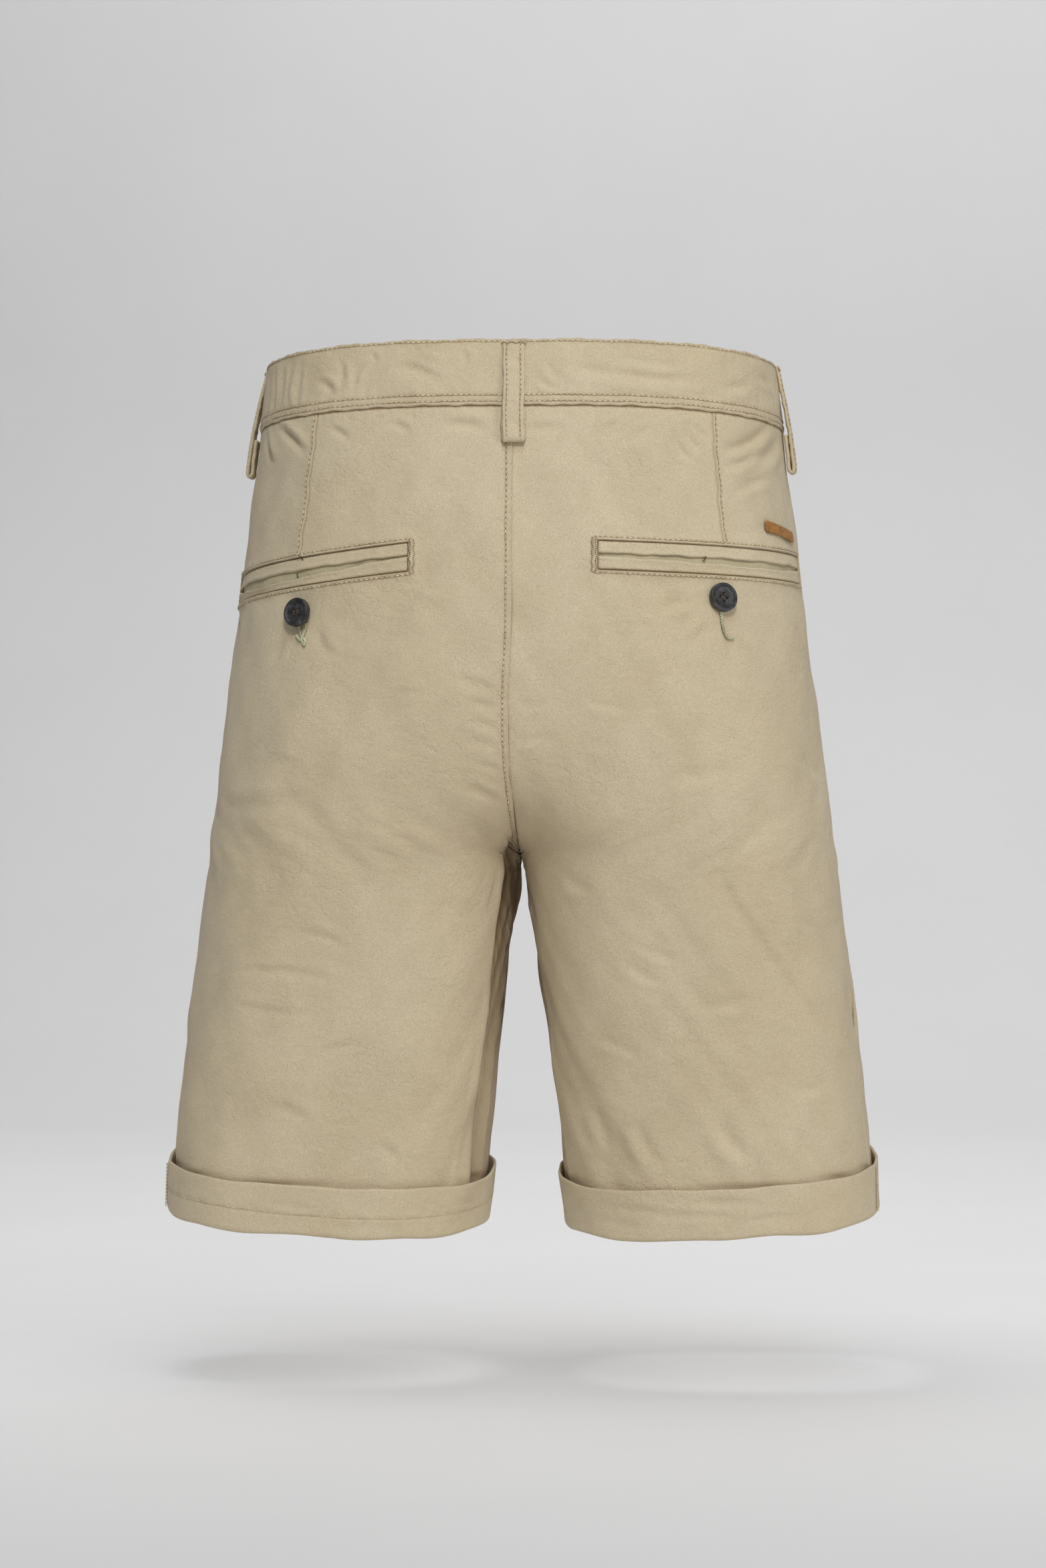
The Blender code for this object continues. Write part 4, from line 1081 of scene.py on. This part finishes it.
# how far the mouth hangs open, at shares of its length
mouths = {
    left: [(0, 0.5), (0.12, 1.2), (0.3, 3.4), (0.5, 4.7), (0.72, 5.9), (0.88, 4.0), (1, 0.5)],
    right: [(0, 1.5), (0.2, 2.1), (0.45, 3.2), (0.7, 3.7), (0.9, 2.6), (1, 0.8)],
}


def mouthOpen(side, share):
    at, width = np.array(mouths[side]).T
    fine = np.linspace(0, 1, 101)
    value = np.interp(fine, at, width)
    for _ in range(30):
        value[1:-1] = (value[:-2] + 2 * value[1:-1] + value[2:]) / 4
    return np.interp(share, fine, value)


def pocketLine(side, share):
    pocket = pockets[side]
    along = pocket["start"] + pocket["length"] * share
    return along, pocket["inner"] + (pocket["outer"] - pocket["inner"]) * share


def makeWelt(side, which):
    # which: top or low; rows run from the upper edge down
    pocket, half = pockets[side], pocketCut["half"]
    inset = welt["inset"] / pocket["length"]
    share = np.linspace(inset, 1 - inset, welt["columns"])
    along, middle = pocketLine(side, share)
    opening = mouthOpen(side, share)
    ripple = 0.25 * np.sin(along / 5.1 + side) + 0.15 * np.sin(along / 2.3)
    ripple = ripple * smooth(np.minimum(share, 1 - share) / 0.1)
    if which == "top":
        first, last = middle - half + welt["inset"], middle - 0.9 + ripple
    else:
        first, last = middle - 0.8 + opening + ripple, middle + half - welt["inset"]
    u, alongGrid = np.meshgrid(np.linspace(0, 1, welt["rows"]), along, indexing="ij")
    drop = first[None, :] + (last - first)[None, :] * u
    mouthward = u if which == "top" else 1 - u
    roll = 0.35 * bell((mouthward - 0.86) / 0.16) - welt["lipRoll"] * bell((mouthward - 1) / 0.05)
    tuck = -0.35 * bell(mouthward / 0.06)
    gape = 0.0 if which == "top" else 0.22 * opening[None, :] * mouthward**2
    waver = 0.18 * np.sin(alongGrid / 7 + side + 2 * mouthward)
    waver = waver + 0.10 * np.sin(alongGrid / 2.9 + mouthward * 2)
    lift = welt["lift"] + roll + tuck + gape + waver * smooth(mouthward / 0.4)
    points = onForm(side, alongGrid, drop, lift)
    name = f"welt_{which}_{sideNames[side]}"
    uv = clothUv(alongGrid, drop)
    made = sheetObject(f"cloth_{name}", points, side, welt["wall"], cotton, uv)
    finishPiece(made, "cotton", name)
    return made


def makeFacing(side):
    share = np.linspace(0.004, 0.996, 90)
    along, middle = pocketLine(side, share)
    u, alongGrid = np.meshgrid(np.linspace(0, 1, 7), along, indexing="ij")
    drop = (middle - facing["above"])[None, :] + facing["height"] * u
    lift = facing["lift"] + 0.12 * np.sin(alongGrid / 6 + 3 * u) + 0.08 * np.sin(alongGrid / 2.1)
    points = onForm(side, alongGrid, drop, lift)
    uv = clothUv(alongGrid, drop)
    name = f"facing_{sideNames[side]}"
    made = sheetObject(f"cloth_{name}", points, side, facing["wall"], facingCotton, uv)
    finishPiece(made, "cotton", name)
    return made


for side in (left, right):
    makeWelt(side, "top")
    makeWelt(side, "low")
    makeFacing(side)
print("pockets made")

# ---- leather tab ----
tab = {"along": 159.0, "drop": 101.5, "slope": 5.5, "length": 36.0, "height": 6.6, "thick": 1.3,
       "corner": 1.6}


def makeTab():
    share = np.linspace(0, 1, 49)
    fromEnd = np.minimum(share, 1 - share) * tab["length"]
    cut = np.where(fromEnd < tab["corner"], tab["corner"] - np.sqrt(np.clip(
        tab["corner"] ** 2 - (tab["corner"] - fromEnd) ** 2, 0, None)), 0)
    up = np.linspace(-1, 1, 13)
    upGrid, shareGrid = np.meshgrid(up, share, indexing="ij")
    half = tab["height"] / 2 - cut[None, :]
    along = tab["along"] + tab["length"] * shareGrid
    drop = tab["drop"] + tab["slope"] * (shareGrid - 0.5) + upGrid * half
    edge = np.minimum((1 - np.abs(upGrid)) * half, np.minimum(shareGrid, 1 - shareGrid) * tab["length"])
    lift = 0.6 + tab["thick"] - 0.5 * bell(edge / 0.45) + 0.12 * np.sin(shareGrid * 9)
    # a plain tooled border where the real tab is stamped
    lift -= 0.16 * bell((edge - 1.5) / 0.22) * ((shareGrid > 0.16) & (shareGrid < 0.84))
    lift -= 0.3 * (bell((shareGrid - 0.07) / 0.012) + bell((shareGrid - 0.93) / 0.012)) * smooth(edge / 1.2)
    points = onForm(right, along, drop, lift + backRelief(right, along, drop) * 0.5)
    uv = clothUv(along, drop)
    made = sheetObject("leather_tab", points, right, tab["thick"], leather, uv)
    finishPiece(made, "leather", "label")
    return made


makeTab()
print("tab made")

# ---- stitches ----
stitchShape = {"sides": 6, "pitch": 3.2, "width": 0.80, "arch": 0.40, "sink": -0.12, "filled": 0.98}


def placeStitches(name, rows, material):
    # rows: start points, end points, outward normals and thickness of every stitch
    sides = stitchShape["sides"]
    # rings along each stitch: place, thickness, and 1 for the pale thread, 0 for the painted shade at its
    # ends
    rings = [(-0.5, 0.7, 0), (-0.36, 0.85, 0), (-0.27, 1.0, 1),
             (0.27, 1.0, 1), (0.36, 0.85, 0), (0.5, 0.7, 0)]
    angle = np.arange(sides) * 2 * np.pi / sides
    points, faces = [], []
    for starts, ends, normals, width in rows:
        for a, b, n in zip(starts, ends, normals):
            along = b - a
            size = np.linalg.norm(along)
            if size < 1e-5:
                continue
            along = along / size
            over = np.cross(along, n)
            over = over / np.linalg.norm(over)
            out = np.cross(over, along)
            base = len(points)
            for t, fat, tone in rings:
                radius = width / 2 * mm * fat
                arch = (stitchShape["arch"] * (1 - (2 * t) ** 2) - stitchShape["sink"]) * mm
                centre = (a + b) / 2 + along * t * size + out * arch
                points += [centre + over * math.cos(v) * radius + out * math.sin(v) * radius * 0.8
                           for v in angle]
            for ring in range(len(rings) - 1):
                low = base + ring * sides
                for k in range(sides):
                    after = (k + 1) % sides
                    faces.append((low + k, low + after, low + sides + after, low + sides + k))
            faces.append(tuple(base + k for k in range(sides - 1, -1, -1)))
            faces.append(tuple(base + (len(rings) - 1) * sides + k for k in range(sides)))
    made = meshObject(name, points, faces, material)
    facesOut(made)
    one = [float(tone) for t, fat, tone in rings for k in range(sides)]
    addShade(made, "middle", one * (len(points) // len(one)))
    finishPiece(made, "cotton")
    print(name, len(faces), "faces")
    return made


def rowAlong(points, normals, pitch=stitchShape["pitch"], width=stitchShape["width"]):
    # cuts a line on the cloth into stitches of one pitch
    run = np.concatenate([[0], np.cumsum(np.linalg.norm(np.diff(points, axis=0), axis=1))]) / mm
    count = int(run[-1] / pitch)
    starts = (np.arange(count) + 0.02) * run[-1] / count
    ends = starts + run[-1] / count * stitchShape["filled"]

    def at(values, where):
        return np.stack([np.interp(where, run, values[:, k]) for k in range(3)], axis=1)

    return at(points, starts), at(points, ends), at(normals, (starts + ends) / 2), width


def panelRow(side, panel, half, drop, **options):
    half, drop = np.broadcast_arrays(np.asarray(half, float), np.asarray(drop, float))
    return rowAlong(panelPoint(side, panel, half, drop, 0.10), formNormal(side, half, drop), **options)


def bandRow(side, down):
    past = band["overlap"] if side == left else -14
    place = np.linspace(2, waistTotal + past, 1400)
    half, drop = bandPlace(place, np.full(len(place), down))
    lift = shared["bandLift"] + bandRelief(side, place, np.full(len(place), down)) + 0.08
    drop = drop + 0.15 * np.sin(place / 6.0) + 0.1 * np.sin(place / 2.2)
    return rowAlong(onForm(side, half, drop, lift), formNormal(side, half, drop))


def cuffRow(side):
    place = np.linspace(0, hemTotal, 900)
    up = cuffStitch(side, place)
    drop = hemDrop(place) - up
    half = place / hemTotal * totalLength(drop)
    lift = cuffLift(up) + cuffRelief(side, place, up)
    return rowAlong(onForm(side, half, drop, lift - 0.05), formNormal(side, half, drop), width=0.5)


def overlockRow(side):
    # the side seam's overcast edge on the turned-up leg end
    starts, ends, normals = [], [], []
    for k, up in enumerate(np.arange(3.0, 29.0, 1.05)):
        lean = 0.5 if k % 2 else -0.3
        place = np.array([hemSeam - 1.6, hemSeam + 1.2])
        drop = hemDrop(place) - np.array([up, up + lean])
        half = place / hemTotal * totalLength(drop)
        a, b = onForm(side, half, drop, cuffLift(up) + 0.85)
        starts.append(a)
        ends.append(b)
        normals.append(formNormal(side, half, drop)[0])
    return np.array(starts), np.array(ends), np.array(normals), 0.85


def backRows(side):
    pocket, (middle, slope, at) = pockets[side], pocketMiddle(side)
    rows = []
    # centre seam
    if side == left:
        drop = np.linspace(34, 284, 900)
        rows.append(panelRow(left, "back", centreStitch + 0.2 * np.sin(drop / 7), drop))
    # beside the dart
    foot = pocketLine(side, (darts[side][1] - pocket["start"]) / pocket["length"])[1]
    foot -= pocketCut["half"] + 3
    drop = np.linspace(waistDrop(np.array([120.0]))[0] + 40, foot, 320)
    rows.append(panelRow(side, "back", dartAlong(side, drop) + 1.7, drop))
    # round the pocket
    out = pocketCut["stitchOut"]
    start, end = pocket["start"] - out, pocket["start"] + pocket["length"] + out
    high = pocketCut["half"] + out
    along = np.linspace(start, end, 600)
    for sign in (-1, 1):
        rows.append(panelRow(side, "back", along, middle + slope * (along - at) + sign * high))
    for along in (start, end):
        drop = np.linspace(-high, high, 60)
        rows.append(panelRow(side, "back", along, drop + middle + slope * (along - at)))
    # a zigzag bar closes the inner end
    zig = np.arange(36)
    share = np.linspace(-1, 1, len(zig))
    along = start - 0.4 + 1.5 * np.where(zig % 2, 1, -1) + 0.3 * np.sin(share * 11)
    drop = share * (high - 0.5) + middle + slope * (along - at)
    points = panelPoint(side, "back", along, drop, 0.3)
    rows.append((points[:-1], points[1:], formNormal(side, along, drop)[:-1], 0.6))
    # side seam and inseam have no stitches outside
    return rows


def loopRows(loop):
    fine, even = loopPath(loop)
    rows = []
    shown = even < loop["length"] - 3
    for sign in (-1, 1):
        over = sign * (loop["width"] / 2 - loopSizes["edgeStitch"]) + 0.2 * np.sin(even[shown] / 5.3)
        points = loopPoints(loop, over, fine[shown], 0.0)
        normals = formNormal(loop["side"], loop["along"] + over, loopTop(loop) + fine[shown, 1])
        rows.append(rowAlong(points, normals, pitch=2.9, width=0.7))
    # bar tack across the top
    zig = np.linspace(0, 1, 30)
    over = (zig - 0.5) * (loop["width"] + 2.0)
    down = 2.2 + 0.8 * np.where(np.arange(30) % 2, 1, -1) + 0.4 * np.sin(zig * 19)
    path = np.stack([np.interp(down, fine[:, 1], fine[:, 0]), down], axis=1)
    points = loopPoints(loop, over, path, 0.25)
    normals = formNormal(loop["side"], loop["along"] + over, down)
    rows.append((points[:-1], points[1:], normals[:-1], 0.6))
    return rows


def flyRows():
    # the centre front seam and the curved line beside it
    bottom, curve = flyStitch["bottom"], flyStitch["curve"]
    straight = np.linspace(62, 280, 700)
    bent = np.concatenate([np.linspace(62, bottom - curve, 300),
                           bottom - curve * (1 - np.sin(np.linspace(0, np.pi / 2, 120)))])
    return [panelRow(left, "front", totalLength(straight) - centreStitch, straight),
            panelRow(left, "front", totalLength(bent) - np.maximum(flyLine(bent), 3), bent)]


for side in (left, right):
    placeStitches(f"stitches_waistband_{sideNames[side]}",
                  [bandRow(side, down) for down in band["stitches"]], thread)
    placeStitches(f"stitches_back_{sideNames[side]}", backRows(side), thread)
    cuffRows = [cuffRow(side), overlockRow(side)] if side == left else [overlockRow(side)]
    placeStitches(f"stitches_turn_up_{sideNames[side]}", cuffRows, softThread)
placeStitches("stitches_fly", flyRows(), thread)
placeStitches("stitches_loops", [row for loop in loops.values() for row in loopRows(loop)], thread)
print("stitches made")

# ---- buttons ----
buttonSizes = {"radius": 8.5, "thick": 2.7, "rim": 1.1, "rimWidth": 2.1, "hole": 0.95,
               "holeAway": 1.55 * 1.35, "thread": 0.28}
buttonPlaces = {
    "button_left": {"side": left, "half": 128.0, "drop": 150.5, "lift": 1.5, "tilt": -4, "turn": 12},
    "button_right": {"side": right, "half": 124.3, "drop": 142.5, "lift": 1.5, "tilt": -4, "turn": 40},
    "button_waist": {"side": left, "half": waistTotal - 12.0, "drop": 41.5, "lift": 1.6,
                     "tilt": 0, "turn": 0},
}


def makeButton(name, place):
    size = buttonSizes
    bpy.ops.object.select_all(action="DESELECT")
    bpy.ops.mesh.primitive_cylinder_add(vertices=48, radius=size["radius"] * mm, depth=size["thick"] * mm,
                                        location=(0, 0, size["thick"] / 2 * mm))
    made = bpy.context.object
    made.name = f"shaped_{name}"
    bpy.ops.object.mode_set(mode="EDIT")
    bpy.ops.mesh.select_mode(type="FACE")
    bpy.ops.mesh.select_all(action="DESELECT")
    bpy.ops.object.mode_set(mode="OBJECT")
    for face in made.data.polygons:
        face.select = face.normal.z > 0.9
    bpy.ops.object.mode_set(mode="EDIT")
    # a raised rim round a dished face
    bpy.ops.mesh.extrude_region_move(TRANSFORM_OT_translate={"value": (0, 0, size["rim"] * mm)})
    bpy.ops.mesh.inset(thickness=0.7 * mm)
    bpy.ops.mesh.inset(thickness=(size["rimWidth"] - 1.3) * mm)
    bpy.ops.mesh.inset(thickness=0.7 * mm)
    bpy.ops.transform.translate(value=(0, 0, -0.85 * size["rim"] * mm))
    bpy.ops.mesh.inset(thickness=1.0 * mm)
    bpy.ops.transform.translate(value=(0, 0, -0.2 * mm))
    bpy.ops.mesh.select_all(action="DESELECT")
    bpy.ops.mesh.select_mode(type="EDGE")
    bpy.ops.object.mode_set(mode="OBJECT")
    # the outer edges are rounded
    for edge in made.data.edges:
        a, b = (made.data.vertices[k].co for k in edge.vertices)
        edge.select = abs(a.z - b.z) < 1e-6 and min(a.xy.length, b.xy.length) > (size["radius"] - 0.05) * mm
    bpy.ops.object.mode_set(mode="EDIT")
    bpy.ops.mesh.bevel(offset=0.55 * mm, segments=3, affect="EDGES")
    bpy.ops.object.mode_set(mode="OBJECT")
    # four holes
    for k in range(4):
        angle, away = math.radians(45 + 90 * k), size["holeAway"] * mm
        bpy.ops.mesh.primitive_cylinder_add(vertices=16, radius=size["hole"] * mm, depth=12 * mm,
                                            location=(away * math.cos(angle), away * math.sin(angle), 0))
        drill = bpy.context.object
        onlySelect(made)
        cut = made.modifiers.new("hole", "BOOLEAN")
        cut.object, cut.operation, cut.solver = drill, "DIFFERENCE", "EXACT"
        bpy.ops.object.modifier_apply(modifier="hole")
        bpy.data.objects.remove(drill)
    onlySelect(made)
    bpy.ops.object.shade_smooth_by_angle(angle=math.radians(35))
    standUp(made, place)
    made.data.materials.clear()
    made.data.materials.append(horn)
    finishPiece(made, "horn", name)
    return made


def placeMatrix(place):
    half, drop = np.array([place["half"]]), np.array([place["drop"]])
    here = Vector(onForm(place["side"], half, drop, place["lift"])[0])
    normal = Vector(formNormal(place["side"], half, drop)[0])
    up = (Vector((0, 0, 1)) - normal * normal.z).normalized()
    matrix = Matrix.Translation(here) @ Matrix((up.cross(normal), up, normal)).transposed().to_4x4()
    return matrix @ Matrix.Rotation(math.radians(place["tilt"]), 4, "X") @ Matrix.Rotation(
        math.radians(place["turn"]), 4, "Z")


def standUp(made, place):
    # puts the place and turn into the mesh
    made.matrix_world = Matrix.Identity(4)
    offset = Matrix.Translation((0, 0, buttonSizes["thick"] / 2 * mm))
    made.data.transform(placeMatrix(place) @ offset)
    made.data.update()


def threadTube(path, radius, sides=8):
    # a round thread along a path of points
    path = np.array(path)
    points, faces = [], []
    ahead = np.gradient(path, axis=0)
    ahead /= np.linalg.norm(ahead, axis=1)[:, None]
    side = np.cross(ahead, (0.3, 0.9, 0.2))
    side /= np.linalg.norm(side, axis=1)[:, None]
    other = np.cross(ahead, side)
    for k, centre in enumerate(path):
        bulge = radius * (1 + 0.38 * math.sin(k * 1.35))
        for s in range(sides):
            angle = 2 * math.pi * s / sides
            points.append(centre + (side[k] * math.cos(angle) + other[k] * math.sin(angle)) * bulge)
    for k in range(len(path) - 1):
        for s in range(sides):
            a, b = k * sides + s, k * sides + (s + 1) % sides
            faces.append((a, b, b + sides, a + sides))
    faces.append(tuple(range(sides - 1, -1, -1)))
    faces.append(tuple(range((len(path) - 1) * sides, len(path) * sides)))
    return points, faces


def joinTubes(name, tubes, material):
    points, faces = [], []
    for tubePoints, tubeFaces in tubes:
        base = len(points)
        points += tubePoints
        faces += [tuple(v + base for v in face) for face in tubeFaces]
    made = meshObject(name, points, faces, material)
    facesOut(made)
    finishPiece(made, "cotton")
    return made


def buttonThreads(name, place):
    # two bars of thread through the four holes
    away = buttonSizes["holeAway"] * mm / math.sqrt(2)
    top = (buttonSizes["thick"] + 0.05) * mm
    matrix = placeMatrix(place)
    tubes = []
    for sign in (-1, 1):
        for strand in (-buttonSizes["thread"], buttonSizes["thread"]):
            path = []
            for t in np.linspace(-1, 1, 13):
                sink = -0.9 * mm if abs(t) > 0.95 else 0
                rise = 0.35 * mm * (1 - t * t)
                spot = Vector((sign * away + strand * mm, away * 1.05 * t, top + rise + sink))
                path.append(np.array(matrix @ spot))
            tubes.append(threadTube(path, buttonSizes["thread"] * mm))
    return joinTubes(f"threads_{name}", tubes, darkThread)


def clothPath(side, spots, steps=14):
    # a smooth path over the back panel: along, drop and lift of its turning points
    spots = np.array(spots, float)
    t = np.linspace(0, len(spots) - 1, (len(spots) - 1) * steps + 1)
    fine = np.stack([np.interp(t, np.arange(len(spots)), spots[:, k]) for k in range(3)], axis=1)
    for _ in range(24):
        fine[1:-1] = (fine[:-2] + 2 * fine[1:-1] + fine[2:]) / 4
    return panelPoint(side, "back", fine[:, 0], fine[:, 1], 0.6 + fine[:, 2])


# light thread ends hanging from the buttons
tails = {
    left: [[(128.2, 157, 0.8), (127.6, 160.5, 0.3), (126.2, 164, 0.3), (125, 167.5, 0.5),
           (123.4, 169.5, 0.9),
            (122.8, 167, 0.8), (124.4, 165, 0.6)],
           [(123, 156.5, 0.8), (123.4, 160, 0.2), (124.8, 163.5, 0.7), (126.4, 166.8, 0.5), (128, 165, 0.9),
            (129.6, 163.2, 0.8)]],
    right: [[(124, 149, 0.9), (124.6, 155, 0.2), (125, 160, 0.2), (126, 164.5, 0.3), (129, 166, 0.5),
             (132, 165.5, 0.7)],
            [(123, 149, 0.9), (123.4, 154, 0.3), (124.2, 159, 0.5), (125.4, 163, 0.3)]],
}
# short dark thread ends left at the dart and in the mouths
threadEnds = {
    left: [[(128.2, 116.6, 1.5), (127.6, 118, 1.9), (126.9, 119.4, 1.4)],
           [(131.2, 126.8, 1.3), (130.6, 128.4, 2.0), (129, 130.8, 1.3)]],
    right: [[(114.8, 118.6, 1.5), (114, 120, 2.0), (112.8, 121.2, 1.5)]],
}
for name, place in buttonPlaces.items():
    makeButton(name, place)
    buttonThreads(name, place)
for side in (left, right):
    for name, paths, radius, material in (("tails", tails, 0.62, tailThread),
                                          ("ends", threadEnds, 0.32, darkThread)):
        tubes = [threadTube(clothPath(side, spots), radius * mm) for spots in paths[side]]
        joinTubes(f"thread_{name}_{sideNames[side]}", tubes, material)
print("buttons made")


# ---- zip and fly shield behind the centre front ----
fly = {"zipWidth": 26.0, "zipLength": 150.0, "shieldWidth": 40.0, "shieldLength": 165.0, "behind": 1.8,
       "teeth": 88, "firstTooth": 70.0, "toothStep": 1.6}


def flyStrip(name, first, last, length, lift, wall, material, slot):
    across = np.linspace(first, last, 21)
    share = np.linspace(0, 1, 60)
    top = shared["frontDrop"] + shared["bandHeight"] + 1.0
    acrossGrid, shareGrid = np.meshgrid(across, share)
    drop = top + length * shareGrid
    points = onForm(left, totalLength(drop) - acrossGrid, drop,
                    lift + 0.1 * np.sin(drop / 7 + acrossGrid / 6))
    points = points[:, ::-1]
    uv = clothUv(acrossGrid, drop)[:, ::-1]
    made = sheetObject(f"cloth_{name}", points, left, wall, material, uv)
    finishPiece(made, slot, name)
    return made


def makeZip():
    half, start = fly["zipWidth"] / 2, -14.0
    flyStrip("zip", -half, half, fly["zipLength"], -fly["behind"] - 0.4, 0.6, facingCotton, "brass")
    flyStrip("fly_shield", start, start + fly["shieldWidth"], fly["shieldLength"], -fly["behind"] - 2.1, 1.3,
             cotton, "cotton")
    # one tooth, then its copies down both tapes, on the inner face of the tape
    bpy.ops.object.select_all(action="DESELECT")
    bpy.ops.mesh.primitive_cube_add(size=1, location=(0, 0, 0))
    tooth = bpy.context.object
    tooth.scale = (2.4 * mm, 0.5 * mm, 1.0 * mm)
    bpy.ops.object.transform_apply(scale=True)
    bpy.ops.object.mode_set(mode="EDIT")
    bpy.ops.mesh.select_all(action="SELECT")
    bpy.ops.mesh.bevel(offset=0.12 * mm, segments=1, affect="EDGES")
    bpy.ops.object.mode_set(mode="OBJECT")
    corners = np.array([v.co[:] for v in tooth.data.vertices])
    toothFaces = [tuple(p.vertices) for p in tooth.data.polygons]
    bpy.data.objects.remove(tooth)
    points, faces = [], []
    for k in range(fly["teeth"]):
        drop = fly["firstTooth"] + k * fly["toothStep"]
        spot = Vector(onForm(left, totalLength(drop), drop, -fly["behind"] + 0.35))
        base = len(points)
        shift = 0.5 * mm * (1 if k % 2 else -1)
        points += [Vector((c[0] + shift, c[1], c[2])) + spot for c in corners]
        faces += [tuple(v + base for v in face) for face in toothFaces]
    teeth = meshObject("zip_teeth", points, faces, brass)
    finishPiece(teeth, "brass")
    return teeth


makeZip()
print("zip made")

# ---- room, light and camera ----
room = {"floor": -0.605, "grey": (0.66, 0.66, 0.665), "back": -2.6, "height": 3.2, "curve": 0.9}
sight = {"distance": 2.4, "turn": 3.5, "height": -0.25, "lens": 90.9}


def makeRoom():
    # a floor that curves up into a wall behind the shorts
    curve, back = room["curve"], room["back"]
    profile = [(4.5, 0.0), (2.0, 0.0), (0.5, 0.0), (-0.8, 0.0), (back + curve, 0.0)]
    profile += [(back + curve - curve * math.sin(a), curve - curve * math.cos(a))
                for a in np.linspace(0.1, math.pi / 2, 16)]
    profile += [(back, room["height"])]
    points = [(x, y, room["floor"] + z) for y, z in profile for x in (-5.0, 5.0)]
    faces = [(2 * k, 2 * k + 1, 2 * k + 3, 2 * k + 2) for k in range(len(profile) - 1)]
    recipe = Recipe("paper")
    fibre = recipe.noise(recipe.place(), 6.0, 3.0)
    tone = recipe.blend(recipe.ramp(fibre, 0.3, 0.7), room["grey"], tuple(v * 0.985 for v in room["grey"]))
    paper = recipe.finish(colour=tone, roughness=0.9 + fibre * 0.05, specular=0.1)
    made = meshObject("paper", points, faces, paper)
    return made


# lights: place, target, width, power, colour, and what they shine on
lights = {
    "key": ((-0.35, 2.6, 1.8), (0, 0, -0.2), 0.6, 43, (1.0, 0.985, 0.965), "shorts"),
    "fill": ((-1.9, 1.9, 0.0), (0, 0, -0.25), 1.0, 12, (1.0, 0.99, 0.97), "shorts"),
    "sky": ((-0.1, 1.5, 2.2), (0, 0, -0.1), 1.0, 19, (0.80, 0.90, 1.0), "shorts"),
    "wall": ((-0.3, -0.6, 2.4), (-0.2, -2.6, 0.0), 2.4, 67, (1, 1, 1), "paper"),
    "floor": ((-0.8, 1.6, 2.0), (-0.6, 0.9, -0.6), 2.4, 23, (1, 1, 1), "paper"),
    "above": ((0.2, -0.02, 1.3), (0, -0.02, -0.6), 0.8, 8, (1, 1, 1), "paper, shadowed"),
}


def addLight(name, place, target, size, power, colour):
    data = bpy.data.lights.new(name, "AREA")
    data.shape, data.size, data.energy, data.color = "DISK", size, power, colour
    made = bpy.data.objects.new(name, data)
    bpy.context.scene.collection.objects.link(made)
    made.location = place
    made.rotation_euler = (Vector(target) - Vector(place)).to_track_quat("-Z", "Y").to_euler()
    return made


def makeLights(paper):
    # the paper has its own lights, so the shorts leave only a faint shadow on it
    onlyPaper = bpy.data.collections.new("paper lights")
    onlyPaper.objects.link(paper)
    notPaper = bpy.data.collections.new("shorts lights")
    notPaper.objects.link(paper)
    notPaper.collection_objects[0].light_linking.link_state = "EXCLUDE"
    for name, (*values, shinesOn) in lights.items():
        linking = addLight(name, *values).light_linking
        linking.receiver_collection = notPaper if shinesOn == "shorts" else onlyPaper
        if shinesOn == "paper":
            linking.blocker_collection = onlyPaper
    world = bpy.data.worlds.new("studio")
    bpy.context.scene.world = world
    world.use_nodes = True
    background = world.node_tree.nodes["Background"]
    background.inputs["Color"].default_value = (1.0, 1.0, 1.0, 1.0)
    background.inputs["Strength"].default_value = 0.22


def makeCamera():
    turn = math.radians(sight["turn"])
    data = bpy.data.cameras.new("camera")
    data.lens = sight["lens"]
    made = bpy.data.objects.new("camera", data)
    bpy.context.scene.collection.objects.link(made)
    made.location = (-sight["distance"] * math.sin(turn), sight["distance"] * math.cos(turn), sight["height"])
    made.rotation_euler = Vector((math.sin(turn), -math.cos(turn), 0)).to_track_quat("-Z", "Y").to_euler()
    bpy.context.scene.camera = made
    bpy.context.scene.view_settings.view_transform = "Standard"


makeLights(makeRoom())
makeCamera()
print("room, lights and camera ready")
